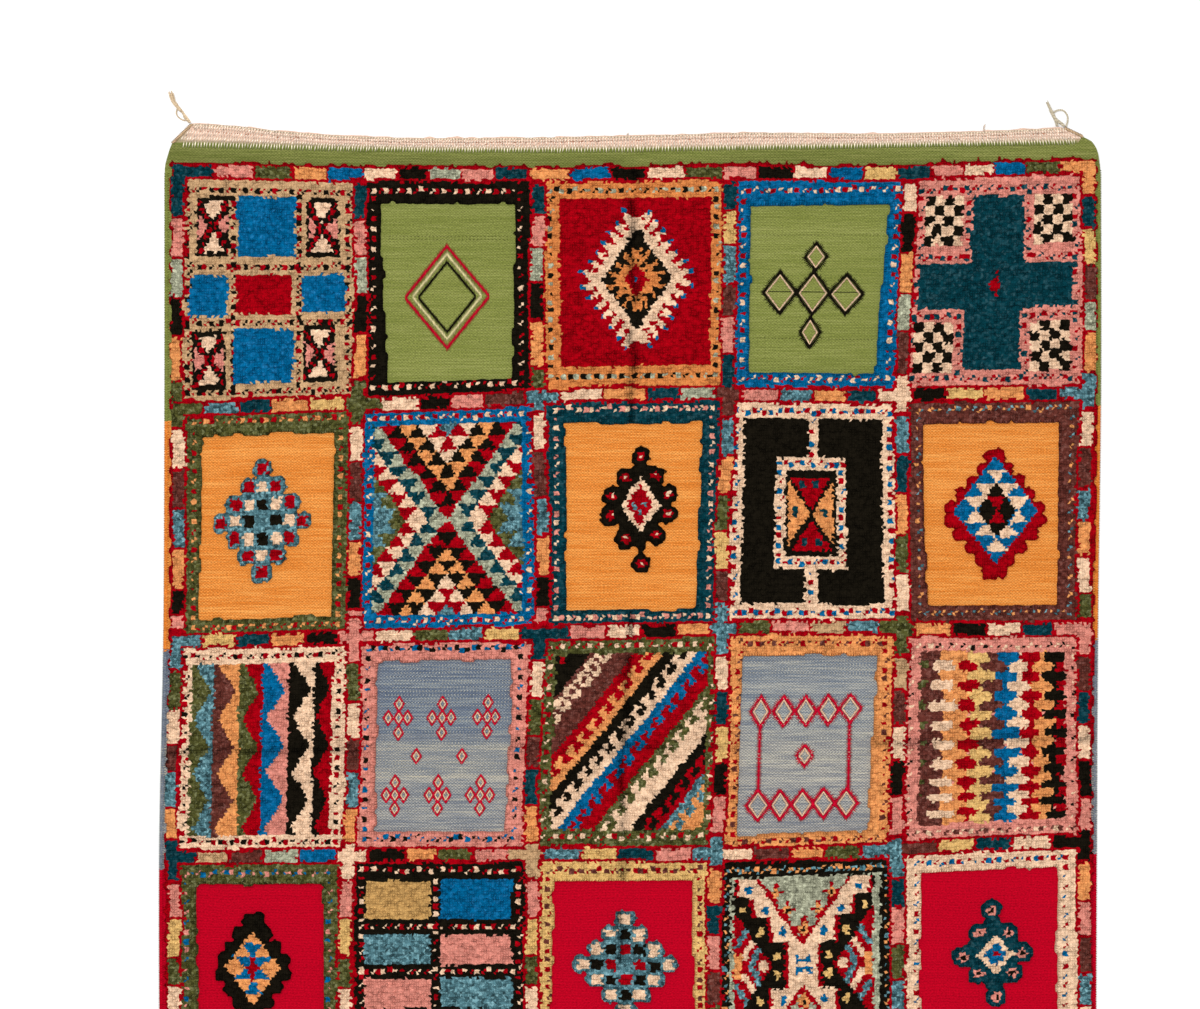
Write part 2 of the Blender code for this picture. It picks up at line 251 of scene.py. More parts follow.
# The edges of the end bands and of the headings: column, then how far out from the last strip
BAND_EDGE = ((-0.032, 44), (0.06, 37), (4.93, 37), (4.968, 50))
UPPER_HEADING_EDGE = (
    (0.08, 79), (0.3, 77), (0.55, 70), (0.85, 65), (1.3, 62), (2.0, 64), (2.7, 66), (3.1, 68),
    (3.8, 62), (4.4, 63), (4.87, 67),
)
LOWER_HEADING_EDGE = ((0.04, 56), (0.5, 61), (1.5, 63), (2.5, 62), (3.5, 63), (4.5, 61), (4.9, 57))
# Where the ends of a heading meet the cloth's corners: right of the outer upright, then out
HEADING_ENDS = ((-9.4, 44.6), (-10.4, 50.5))
# The headings' yarns as they look in soft light
HEADING_YARNS = {
    "body": (206, 174, 154), "green": (96, 104, 48), "underside": (200, 160, 130),
    "first row": (244, 232, 206), "stitch": (248, 230, 212), "shade": (186, 128, 100),
    "side cord": (196, 166, 132), "inner cord": (220, 194, 172), "outer cord": (226, 206, 180),
    "tuft": (226, 200, 176),
}
# Ends of yarn that stick out of the upper heading: column, how far
LOOSE_TUFTS = ((2.47, 9), (4.41, 16))

# The tails, as points right of and above their roots, with a radius. A strand thicker than
# BRUSH_FROM is a brush of thin ones.
STRAND_RISE = 0.35
BRUSH_FROM = 3
THIN_STRANDS = 14
TAILS = (
    ("tail_left", 0, (21, 80), (208, 186, 156), (
        (1.9, ((0, 0), (-5, 7), (-11, 15), (-17, 23), (-24, 31))),
        (1.9, ((-1, 0), (-9, 8), (-13, 17), (-21, 24), (-25, 33))),
        (1.2, ((-4, 6), (-11, 4), (-20, 9), (-24, 16), (-22, 24), (-18, 27))),
        (4.6, ((-15, 20), (-22, 28), (-29, 38), (-32, 51))),
        (3.8, ((-22, 30), (-29, 37), (-35, 48))),
    )),
    ("tail_right", COLUMNS, (-43, 69), (190, 180, 158), (
        (2.5, ((-12, 0), (-15, 10), (-20, 20), (-24, 29))),
        (2.7, ((0, 0), (-7, 6), (-14, 11), (-19, 19), (-24, 27))),
        (1.5, ((3, -1), (6, 9), (5, 19), (-2, 27), (-12, 27), (-20, 22))),
        (4.0, ((-20, 22), (-25, 31), (-29, 39))),
    )),
)

# Small diamonds of laid-in yarn: right of and below the panel's middle, half width, half height
GREEN_DIAMONDS = (
    (-3, -45, 15, 19), (-66, 17, 25, 31), (-6, 18, 25, 32), (54, 20, 26, 29), (-9, 86, 14, 21),
)
RED_DIAMONDS = (
    (-85, -51, 13, 21), (-45, -51, 14, 21), (-7, -51, 14, 21), (32, -53, 14, 21), (70, -55, 15, 20),
    (-85, 112, 16, 22), (-47, 112, 14, 21), (-9, 112, 15, 21), (27, 111, 15, 21), (66, 112, 15, 21),
    (-7, 27, 10, 14),
)
# Crosses of five: the middle one's place, then how far the others lie up, down, left and right
CROSSES = (
    (-77, -47, 24, 26, 18, 15), (-3, -47, 24, 26, 17, 15), (74, -48, 25, 25, 17, 13),
    (-80, 88, 22, 24, 15, 15), (-6, 88, 22, 23, 15, 14), (67, 88, 22, 23, 17, 16),
)
SINGLES = ((-45, 20), (33, 20))
# The grey fields' rows of pale dots: column, left, right, top, bottom, share of the rows
DOTTED_FIELDS = ((1, -110, 111, -138, 0, 0.85), (1, -110, 111, 0, 148, 0.4),
                 (3, -114, 104, -144, 40, 0.45))


def spline_parts(at, count):
    """Four neighbours and their weights for a curve through listed values (Catmull-Rom)."""
    at = np.clip(at, 0, count - 1)
    left = np.minimum(np.floor(at).astype(int), count - 2)
    t = at - left
    weights = (
        (-t**3 + 2 * t**2 - t) / 2,
        (3 * t**3 - 5 * t**2 + 2) / 2,
        (-3 * t**3 + 4 * t**2 + t) / 2,
        (t**3 - t**2) / 2,
    )
    picks = [np.clip(left + step, 0, count - 1) for step in (-1, 0, 1, 2)]
    return list(zip(picks, weights))


def place(column, row):
    """Where a place of the lattice lies on the floor: its even place plus the smoothed drift."""
    column, row = np.broadcast_arrays(np.asarray(column, float), np.asarray(row, float))
    drift = np.stack((DRIFT_RIGHT, DRIFT_UP), axis=-1).astype(float)
    moved = np.zeros(column.shape + (2,))
    for row_pick, row_weight in spline_parts(row, ROWS + 1):
        for column_pick, column_weight in spline_parts(column, COLUMNS + 1):
            moved += (row_weight * column_weight)[..., None] * drift[row_pick, column_pick]
    x = LATTICE_RIGHT + (column - COLUMNS / 2) * COLUMN_PITCH + moved[..., 0]
    y = LATTICE_UP + (ROWS / 2 - row) * ROW_PITCH + moved[..., 1]
    return x, y


def lift(x, y):
    """How far the upper face stands above its even height: slow waves, less the two creases."""
    wave = np.sin(x / 130 + 0.8) * np.cos(y / 170 + 0.4) + 0.6 * np.sin(x / 61 - y / 97)
    dip = 0
    for distance, (at, depth, reach) in (
        (x - LATTICE_RIGHT, CREASE_ALONG),
        (y - LATTICE_UP, CREASE_ACROSS),
    ):
        dip = dip + depth * np.exp(-(((distance - at) / reach) ** 2))
    return WAVE_HEIGHT * wave - dip


def slow_noise(shape, step, seed):
    """Random values on a coarse net, blended smoothly between its lines."""
    net = np.random.default_rng(seed).normal(size=(shape[0] // step + 3, shape[1] // step + 3))
    rows = np.arange(shape[0]) / step
    columns = np.arange(shape[1]) / step
    j = rows.astype(int)[:, None]
    i = columns.astype(int)[None, :]
    v = rows[:, None] - j
    u = columns[None, :] - i
    v = v * v * (3 - 2 * v)
    u = u * u * (3 - 2 * u)
    upper = net[j, i] * (1 - u) + net[j, i + 1] * u
    lower = net[j + 1, i] * (1 - u) + net[j + 1, i + 1] * u
    return upper * (1 - v) + lower * v


def knot_lines(cells, knots, margin, margin_knots, pitch):
    """The lines between knots along one direction, counted in cells of the lattice."""
    beyond = np.arange(1, margin_knots + 1) * margin / margin_knots / pitch
    inner = np.arange(cells * knots + 1) / knots
    return np.concatenate((-beyond[::-1], inner, cells + beyond))


COLUMN_LINES = knot_lines(COLUMNS, ACROSS, PILE_SIDE, SIDE_KNOTS, COLUMN_PITCH)
ROW_LINES = knot_lines(ROWS, ALONG, PILE_END, END_KNOTS, ROW_PITCH)
KNOT_WIDTH = COLUMN_PITCH / ACROSS
KNOT_HEIGHT = ROW_PITCH / ALONG
# Every so many knots the faces underneath have a point, to follow the lattice's curves
UNDER_STEP = 8


class Chart:
    """The yarn of every knot. Shapes are drawn where a weaver's eye and hand put them: a little
    off, by a slow wander and a small scatter. The flat fields' edges only wander."""

    def __init__(self):
        across, along = np.meshgrid(*(
            pitch * (lines[1:] + lines[:-1]) / 2
            for pitch, lines in ((COLUMN_PITCH, COLUMN_LINES), (ROW_PITCH, ROW_LINES))
        ))
        shape = across.shape
        self.field_x = across + 1.4 * slow_noise(shape, 4, 6)
        self.field_y = along + 1.1 * slow_noise(shape, 4, 8)
        self.x = across + 1.3 * slow_noise(shape, 7, 1) + DICE.normal(0, 1.0, shape)
        self.y = along + 1.3 * slow_noise(shape, 7, 2) + DICE.normal(0, 0.6, shape)
        self.yarn = np.full(shape, LETTERS.index("R"))

    def put(self, letter, where):
        """Ties the knots of a mask in a yarn."""
        self.yarn[where] = LETTERS.index(letter)

    def from_strip(self, number):
        """How far below a strip's own middle line every knot lies."""
        bend = np.interp(self.x / COLUMN_PITCH, STRIP_PLACES, STRIP_BENDS[number])
        return self.y - number * ROW_PITCH - bend

    def from_upright(self, number):
        """How far right of an upright's own middle line every knot lies."""
        bend = np.interp(self.y / ROW_PITCH, UPRIGHT_PLACES, UPRIGHT_BENDS[number])
        return self.x - number * COLUMN_PITCH - bend

    def strips(self):
        """The lattice: bricks between lines of red, then the arms of the crossings."""
        for number in range(len(STRIPS)):
            self.put("R", np.abs(self.from_strip(number)) < RED_HALF)
        for number in range(COLUMNS + 1):
            self.put("R", np.abs(self.from_upright(number)) < RED_HALF)
        for row, upright, letters, starts in UPRIGHTS:
            x, y = self.from_upright(upright), self.from_strip(row)
            for letter, start, end in zip(letters, starts, starts[1:] + (ROW_PITCH - UPRIGHT_END,)):
                inside = (y > start + JOINT_HALF) & (y < end - JOINT_HALF)
                self.put(letter, inside & (np.abs(x) < UPRIGHT_HALF))
        for number, (letters, lengths) in enumerate(STRIPS):
            y = self.from_strip(number)
            for letter, end, length in zip(letters, STRIP_START + np.cumsum(lengths), lengths):
                inside = (self.x > end - length + JOINT_HALF) & (self.x < end - JOINT_HALF)
                self.put(letter, inside & (np.abs(y) < BRICK_HALF))
        for number, upright, letter, up, down in ARMS:
            x, y = self.from_upright(upright), self.from_strip(number)
            self.put("R", (np.abs(x) < RED_HALF) & (y > -up - 3) & (y < down + 3)
                     & (np.abs(y) > BRICK_HALF))
            self.put(letter, (np.abs(x) < UPRIGHT_HALF) & (y > -up) & (y < down))

    def trim(self):
        """The pile ends in an uneven line of red beyond the first strip, with a few long tufts."""
        count = self.yarn.shape[1]
        edge = 15.2 + 1.2 * slow_noise((count, 1), 2, 21)[:, 0]
        edge[np.random.default_rng(22).random(count) < 0.05] = 22
        self.yarn[self.from_strip(0) < -edge] = FLAT

    def turn_over(self):
        """Rows five to seven repeat rows three to one, upside down."""
        start = END_KNOTS + 4 * ALONG - STRIP_KNOTS
        self.yarn[start:] = self.yarn[len(self.yarn) - 1 - start::-1]

    def fray(self):
        """Some tufts are missing along the sides of the pile, in short runs."""
        for column, seed in ((0, 23), (-1, 24)):
            run = slow_noise((len(self.yarn), 1), 2, seed)[:, 0]
            self.yarn[run > 0.15, column] = FLAT


class Panel:
    """One panel of the chart, with its knots' places right of and below its middle. Most shapes
    take a yarn, then the place and the size of each one of them."""

    def __init__(self, chart, row, column):
        part = (slice(END_KNOTS + row * ALONG, END_KNOTS + (row + 1) * ALONG),
                slice(SIDE_KNOTS + column * ACROSS, SIDE_KNOTS + (column + 1) * ACROSS))
        middle_x, middle_y = (column + 0.5) * COLUMN_PITCH, (row + 0.5) * ROW_PITCH
        self.x, self.field_x = chart.x[part] - middle_x, chart.field_x[part] - middle_x
        self.y, self.field_y = chart.y[part] - middle_y, chart.field_y[part] - middle_y
        self.yarn = chart.yarn[part]

    def put(self, letter, where):
        """Ties the knots of a mask in a yarn."""
        self.yarn[where] = LETTERS.index(letter)

    def inside(self, left, right, top, bottom):
        """The knots within a box."""
        return (self.x > left) & (self.x < right) & (self.y > top) & (self.y < bottom)

    def reach(self, x, y, half_width, half_height):
        """How far out a knot lies in a diamond: 0 at its middle, 1 on its edge."""
        return np.abs(self.x - x) / half_width + np.abs(self.y - y) / half_height

    def quarter(self, middle):
        """How far a knot lies from a middle, across and along, whichever the side."""
        return np.abs(self.x - middle[0]), np.abs(self.y - middle[1])

    def box(self, letter, *boxes):
        """Boxes from left to right and from top to bottom."""
        for sides in boxes:
            self.put(letter, self.inside(*sides))

    def diamond(self, letter, *diamonds):
        """Diamonds: the middle, half the width and half the height of each."""
        for place_and_size in diamonds:
            self.put(letter, self.reach(*place_and_size) < 1)

    def disc(self, letter, *discs):
        """Discs and ovals: the middle, half the width and half the height of each."""
        for x, y, half_width, half_height in discs:
            out = ((self.x - x) / half_width) ** 2 + ((self.y - y) / half_height) ** 2
            self.put(letter, out < 1)

    def wedge(self, letter, *wedges):
        """Triangles with their middle base at x, y. They point down, or up for a height below 0."""
        for x, y, half_width, height in wedges:
            part = (self.y - y) / height
            near = np.abs(self.x - x) < half_width * (1 - part)
            self.put(letter, (part > 0) & (part < 1) & near)

    def side_wedge(self, letter, *wedges):
        """Triangles that point right, or left for a length below 0."""
        for x, y, length, half_height in wedges:
            part = (self.x - x) / length
            near = np.abs(self.y - y) < half_height * (1 - part)
            self.put(letter, (part > 0) & (part < 1) & near)

    def stroke(self, letter, start, end, width, middle):
        """A straight stroke with round ends, in all four quarters about a middle."""
        x, y = self.quarter(middle)
        (x0, y0), (dx, dy) = start, np.subtract(end, start)
        part = np.clip(((x - x0) * dx + (y - y0) * dy) / (dx * dx + dy * dy), 0, 1)
        self.put(letter, np.hypot(x - x0 - part * dx, y - y0 - part * dy) < width / 2)

    def scallops(self, letter, x, y, height, half_widths, size):
        """A lozenge with stepped sides and a round lobe at the end of every step."""
        count, step = len(half_widths), height / len(half_widths)
        number = np.floor((self.y - y + height / 2) / step).astype(int)
        widths = np.array(half_widths)[np.clip(number, 0, count - 1)] - size / 2
        self.put(letter, (number >= 0) & (number < count) & (np.abs(self.x - x) < widths))
        for number, width in enumerate(half_widths):
            middle = y + (number - (count - 1) / 2) * step
            for side in (-1, 1):
                self.disc(letter, (x + side * (width - size), middle, size, step * 0.57))

    def tuft(self, letter, x, y, wide, high):
        """A few whole knots in a block, wide by high of them. A narrow block leans to the right."""
        i = round((x + COLUMN_PITCH / 2) / KNOT_WIDTH - wide / 2)
        j = round((y + ROW_PITCH / 2) / KNOT_HEIGHT - high / 2)
        for step in range(high):
            left = max(i + (wide == 1 and high == 2 and step == 0), 0)
            self.put(letter, (slice(max(j + step, 0), j + step + 1), slice(left, left + wide)))

    def dots(self, letters, pitch, *lines, bold=0.6):
        """Lines of dots in turn of two yarns, pitch from one to the next of the same yarn. The
        bolder, the more of them are two knots wide."""
        for line in lines:
            start, end = np.reshape(line, (2, 2)).astype(float)
            count = max(1, round(np.linalg.norm(end - start) / pitch * 2))
            for number in range(count + 1):
                x, y = start + (end - start) * number / count
                wide = 1 + (DICE.random() < (bold * 0.75 if number % 2 else bold))
                high = 1 + (DICE.random() < 0.5 + bold / 2)
                self.tuft(letters[number % 2], x, y + DICE.normal(0, 1.0), wide, high)

    def frame(self, letter, letters, left, right, top, bottom, side_pitch, end_pitch, bold):
        """The panel's frame with its lines of dots."""
        half_width, half_height = FRAME_HALF
        self.box(letter, (-half_width, half_width, -half_height, half_height))
        self.dots(letters, end_pitch, (left, top, right, top), (left, bottom, right, bottom),
                  bold=bold)
        top, bottom = top + side_pitch / 2, bottom - side_pitch / 2
        self.dots(letters[::-1], side_pitch, (left, top, left, bottom),
                  (right, top, right, bottom), bold=bold)

    def field(self, left, right, above, below, left_lean, right_lean):
        """The flat-woven field inside a frame."""
        x, y = self.field_x, self.field_y
        self.yarn[(x > left - COLUMN_PITCH / 2 + left_lean * y)
                  & (x < COLUMN_PITCH / 2 - right + right_lean * y)
                  & (y > above - ROW_PITCH / 2) & (y < ROW_PITCH / 2 - below)] = FLAT


def hourglass(p, x, y):
    """A pair of cream triangles point to point, pink ones beside them, in a black box."""
    p.box("K", (x - 28, x + 28, y - 49, y + 49))
    for side in (-1, 1):
        p.wedge("C", (x, y + side * 40, 19, -side * 31))
        p.side_wedge("P", (x + side * 25, y, -side * 18, 22))
        for step in range(4):
            cy = y + side * (5 + 11 * step)
            for cx in (x - 5 - 6 * step, x + 5 + 6 * step):
                p.box("R", (cx - 3, cx + 3, cy - 4, cy + 4))


def four_hourglasses(p):
    """Nine fields between lines of dots: hourglasses in the corners, red inside, else blue."""
    p.dots("KR", 22, (-61, -150, -61, 160), (52, -150, 52, 160))
    p.dots("KR", 20, (-139, -36, 137, -36), (-139, 55, 137, 55))
    p.box("B", (-54, 46, -150, -51), (-136, -70, -19, 45), (58, 132, -23, 40), (-60, 44, 66, 154))
    p.box("R", (-53, 40, -21, 42))
    for x, y in ((-96, -100), (93, -100), (-102, 116), (88, 108)):
        hourglass(p, x, y)


def comb_medallion(p):
    """A lozenge with a comb of teeth all around. They lean outward from its upper and lower tip,
    and end in blue."""
    middle = (6, -8.5)
    x, y = p.quarter(middle)
    p.box("R", (-120, 127, -151, 143))
    p.put("C", x / 77 + y / 107 < 1)
    for number in range(7):
        tip = np.array((20 + 11.4 * number, 119 - 17.6 * number))
        lean = math.radians(66 - 7.5 * number)
        way = np.array((math.cos(lean), math.sin(lean)))
        spur = tip - 12 * way
        p.stroke("C", tip - 25 * way, tip - 4 * way, 9.5, middle)
        p.stroke("C", spur, spur + 6 * np.array((-way[1], way[0])), 5, middle)
        p.stroke("B", tip - way, tip + way, 7, middle)
    p.put("C", (x < 9) & (y > 85) & (y < 108))
    inner = x / 57 + y / 85
    turn = y / 85 / np.maximum(inner, 0.01)
    notch = (turn * 4.3 + 0.15) % 1
    p.put("D", inner < 1)
    p.put("K", (inner < 1.02) & (inner > 0.66) & ((notch < 0.62) | (inner > 0.92)))
    p.put("K", (inner < 0.60) & (inner > 0.44) & (np.abs(notch - 0.75) < 0.14) & (y > 12))
    p.put("K", (inner < 1.08) & (y > 56) & (x < 13))
    p.put("R", x / 19 + y / 32 < 1)
    p.put("B", (x < 3.5) & (y < 6))


def cross_and_checks(p):
    """A teal cross with a red middle, four checked corners and lines of dots between them."""
    p.dots("TR", 20, (-135, -41, -52, -41), (51, -41, 133, -41), (-135, 59, -59, 59),
           (50, 59, 133, 59))
    p.dots("TR", 30, (-53, -150, -53, -41), (51, -150, 51, -41), (-59, 59, -59, 155),
           (50, 59, 50, 155))
    p.box("T", (-46, 44, -146, 0), (-51, 42, 0, 150), (-131, 128, -30, 46))
    for left, top, odd in ((-127, -146, 0), (61, -147, 1), (-134, 70, 0), (58, 70, 1)):
        column = np.floor((p.x - left) / 16.2)
        row = np.floor((p.y - top) / 16.8)
        inside = (column >= 0) & (column < 4) & (row >= 0) & (row < 5)
        p.put("C", inside)
        p.put("K", inside & ((column + row + odd) % 2 == 0))
    p.diamond("R", (-3, 6, 13, 13), (0, 3, 5, 24))


def block_medallion(p, x, y, height, half_widths, rows):
    """A stepped lozenge with rows of blocks, given from its tip to its middle row."""
    p.scallops("S", x, y, height, half_widths, 14)
    step = height / len(half_widths)
    for number, row in enumerate(rows + rows[-2::-1]):
        cy = y - height / 2 + (number + 0.5) * step
        for index, block in enumerate(row):
            cx = x + (index - (len(row) - 1) / 2) * 24
            if block != " ":
                p.box(block, (cx - 9, cx + 9, cy - step * 0.33, cy + step * 0.33))


def steel_medallion(p):
    """A stepped lozenge of steel with a red block at either tip."""
    block_medallion(p, -8, -2, 204, (18, 41, 65, 87, 65, 43, 20), ["R", "RCR", "RCKCR", "RCK KCR"])


def cream_medallion(p):
    """A stepped lozenge of steel with a cream block at either tip."""
    block_medallion(p, 6, -8, 182, (19, 41, 65, 90, 67, 43, 19), ["C", "CKC", "CKRKC", "CKR RKC"])


def triangle_cross(p):
    """Rows of triangles, base to base and point to point. Their colours run in bands from the
    middle of the ends to the middle of the sides."""
    yarns = "SRCKOKRATCRGSS"
    half, width, height = 161.5, 17.2, 23.07
    down = (half - np.abs(p.y - 4)) / height
    row = np.clip(np.floor(down), 0, 6)
    part = down - row
    place_across = (p.x + 1) / width
    near, other = (2 * np.round((place_across - odd) / 2) + odd for odd in (row % 2, (row + 1) % 2))
    in_near = np.abs(place_across - near) < 1 - part
    level = (row + np.abs(np.where(in_near, near, other))).astype(int)
    index = np.array([LETTERS.index(letter) for letter in yarns])
    inner = p.inside(-129, 127, -157, 163)
    p.yarn[inner] = index[np.clip(level, 0, len(yarns) - 1)][inner]


def lobed_medallion(p, letter, lobes, size, body, *rings):
    """A body and round lobes. In each lobe lie rings: a yarn, how far off, then half sizes."""
    p.diamond(letter, body)
    p.disc(letter, *((x, y, size, size) for x, y in lobes))
    for yarn, right, down, wide, tall in rings:
        p.disc(yarn, *((x + right, y + down, wide, tall) for x, y in lobes))


def black_lobes(p):
    """Ten black lobes around lozenges of cream and red, and three discs of steel."""
    lobes = ((12, -92), (-12, -58), (36, -60), (-34, -28), (60, -30), (-36, 5), (58, 3), (-12, 42),
             (39, 37), (16, 86))
    p.box("K", (8, 18, 52, 76))
    lobed_medallion(p, "K", lobes, 17, (11, -14, 56, 82), ("R", 0, 0, 8, 7), ("C", 1, -1, 3, 3))
    p.diamond("C", (13, -12, 33, 46))
    p.diamond("R", (13, -12, 22, 33))
    p.disc("S", (3, -10, 4, 5), (21, -14, 4, 5), (13, 2, 4, 5))


def teal_lobes(p):
    """Eight teal lobes around lozenges of cream, blue and red."""
    lobes = ((0, -83), (-22, -44), (26, -44), (-50, -6), (50, -7), (-22, 25), (33, 25), (6, 64))
    lobed_medallion(p, "T", lobes, 18.5, (2, -9, 56, 74), ("P", 0, 0, 9, 8), ("K", 1, 0, 4, 4))
    for letter, wide, tall in (("C", 32, 36), ("B", 18, 22), ("R", 6, 7)):
        p.diamond(letter, (5, -6, wide, tall))


def bars_and_hourglass(p):
    """Red and orange triangles point to point in a box of black, on cream with lines of dots."""
    p.box("K", (-125, 126, -155, 153))
    p.box("C", (-9, 10, -156, -88), (-14, 10, 94, 154), (-68, 62, -90, 95))
    p.dots("BR", 32, (-2, -150, -2, -96), (-3, 102, -3, 150))
    p.dots("BR", 20, (-59, -80, 55, -80), (-59, 83, 55, 83))
    p.dots("BR", 31, (-59, -66, -59, 70), (54, -66, 54, 70))
    p.box("K", (-50, 46, -70, 72))
    p.wedge("R", (-2, -58, 36, 52), (-2, 64, 38, -52))
    p.side_wedge("O", (-45, 0, 40, 56), (39, 0, -38, 56))
    for x, y in ((-17, -46), (8, -46), (-14, 50), (12, 50), (-31, 0), (23, 0)):
        p.box("T", (x - 5, x + 5, y - 7, y + 6))


def red_steps(p):
    """A stepped lozenge of red around a blue one, with a ring of cream triangles and a black middle."""
    p.scallops("R", 3, 3, 214, (18, 31, 49, 67, 82, 84, 71, 53, 35, 24), 11)
    p.diamond("B", (3, -4, 70, 89))
    for across, base in ((0, 66), (17, 43), (35, 21)):
        for x in (5 - across, 5 + across):
            p.wedge("C", (x, -4 - base, 19, 22), (x, -4 + base, 19, -22))
    p.diamond("K", (5, -4, 31, 44))
    p.wedge("R", (5, -25, 15, 22), (5, 17, 15, -22))
    p.box("R", (3, 8, -14, 8))


def wave_columns(p):
    """Six columns of two yarns each, which meet along a zigzag."""
    edges = (-130, -90, -44, -3, 44, 88, 121)
    swing = np.abs((p.y + 2) / 97 % 1 - 0.5)
    yarns = ("GS", "NO", "GR", "BP", "KC", "KR")
    for left, right, (over, under) in zip(edges, edges[1:], yarns):
        inside = p.inside(left, right, -148, 157)
        p.put(under, inside)
        p.put(over, inside & (p.x < left + (right - left) * (0.18 + 1.36 * swing)))


# The bands across the diagonal panel: how far down one ends, its yarn, and whether hooks of it
# reach into the next
DIAGONAL_BANDS = (
    (76, "K", False), (176, "N", False), (198, "R", True), (243, "O", False), (271, "K", True),
    (317, "C", False), (340, "B", True), (400, "R", False), (414, "G", True), (483, "C", False),
    (509, "K", True), (549, "R", False), (568, "S", True), (900, "O", False),
)


def diagonals(p):
    """Bands that climb to the right, with hooks between them and a line of cream loops."""
    inner = p.inside(-126, 135, -154, 148)
    slope = 1.315
    tilt = math.hypot(1, slope)
    down = (p.y + 154) + slope * (p.x + 126)
    along = (slope * p.y - p.x) / tilt
    start, hook = 0, None
    for end, letter, hooked in DIAGONAL_BANDS:
        p.put(letter, inner & (down >= start) & (down < end))
        if hook:
            phase = (along / 28 + start / 60) % 1
            far = (down - start) / 26
            p.put(hook, inner & (down >= start) & (far < 1)
                  & ((phase < 0.28) | ((far > 0.42) & (phase < 0.62))))
        start, hook = end, letter if hooked else None
    phase = (along / 27) % 1 - 0.5
    loop = np.hypot(phase * 27, (down - 106) / tilt)
    p.put("C", inner & (loop < 14.5) & (down > 70))
    p.put("N", inner & (loop < 5))
    p.put("N", inner & (np.abs(phase) > 0.36) & (down > 96) & (down < 150) & (loop < 16))
    p.box("R", (-121, -112, -154, -141))


def brick_rows(p):
    """Rows of long bricks with rounded ends and slivers of the next row's yarns between them. The
    rows grow lower towards the end, and fan out a little to the left."""
    p.box("P", (-140, 140, 160, 176))
    p.dots("NC", 18, (-134, 168, 134, 168), bold=0.5)
    rows = (
        ((-125, "N"), (-87, "O"), (-45, "R"), (-42, "M"), (-3, "N"), (1, "B"), (42, "C"), (47, "R"),
         (79, "O"), (82, "K"), (122, "")),
        ((-125, "N"), (-107, "C"), (-67, "O"), (-60, "R"), (-27, "M"), (-22, "N"), (19, "B"),
         (24, "C"), (61, "R"), (65, "O"), (102, "K"), (108, "R"), (122, "")),
    )
    tall, low, turn = 13, 6, 72
    lines = np.concatenate((np.linspace(-153, turn, tall + 1), np.linspace(turn, 153, low + 1)[1:]))
    y = p.y * (1 + 0.0001 * p.x)
    number = np.searchsorted(lines, y) - 1
    whole = np.clip(number, 0, tall + low - 1)
    part = (y - lines[whole]) / (lines[whole + 1] - lines[whole])
    shake = np.random.default_rng(61).normal(0, 1.9, (tall + low, len(rows[1])))
    here = (number == whole) & (p.x > -126) & (p.x < 123)
    for sliver in (False, True):
        grow = 4.5 * (2 * part - 1) ** 2 - 0.5 if sliver else 0
        for odd, row in enumerate(rows):
            for index, ((left, letter), (right, _)) in enumerate(zip(row, row[1:])):
                if (right - left < 20) == sliver:
                    p.put(letter, here & (whole % 2 == odd)
                          & (p.x > left + shake[whole, index] - grow)
                          & (p.x < right + shake[whole, index + 1] + grow))
    p.put("G", (p.x > -124) & (p.x < -114) & (y < 100) & (whole % 2 == 1) & (number == whole)
          & (part < 0.75))


def black_steps(p):
    """A stepped lozenge of black around an orange one with blue triangles and a red middle."""
    x, y = -14, -2
    p.scallops("K", x, y, 190, (21, 36, 51, 67, 69, 53, 37, 21), 11)
    p.diamond("O", (x, y, 49, 64))
    for side in (-1, 1):
        p.wedge("B", (x, y + side * 43, 18, -side * 24), (x, y + side * 20, 35, -side * 29))
    p.box("O", (x - 50, x - 22, y - 7, y + 7), (x + 22, x + 50, y - 7, y + 7))
    p.put("K", p.inside(x - 60, x + 60, y - 12, y + 12) & (p.reach(x, y, 50, 60) > 1))
    p.diamond("R", (x, y, 12, 16))
    p.box("R", (x - 2.6, x + 2.6, y - 20, y + 20))


def colour_blocks(p):
    """Two columns of four blocks between lines of dots. Each yarn has a block in both columns."""
    p.dots("CR", 20, (-137, -74, 136, -74), (-137, 3, 136, 3), (-137, 79, 136, 79))
    p.dots("CR", 31, (-8, -155, -8, 155))
    p.box("Y", (-129, -16, -152, -86), (2, 124, 92, 155))
    p.box("B", (1, 124, -155, -85), (-130, -16, 92, 155))
    p.box("S", (-132, -16, -60, -8), (1, 126, 15, 68))
    p.box("P", (2, 126, -59, -8), (-132, -16, 16, 67))


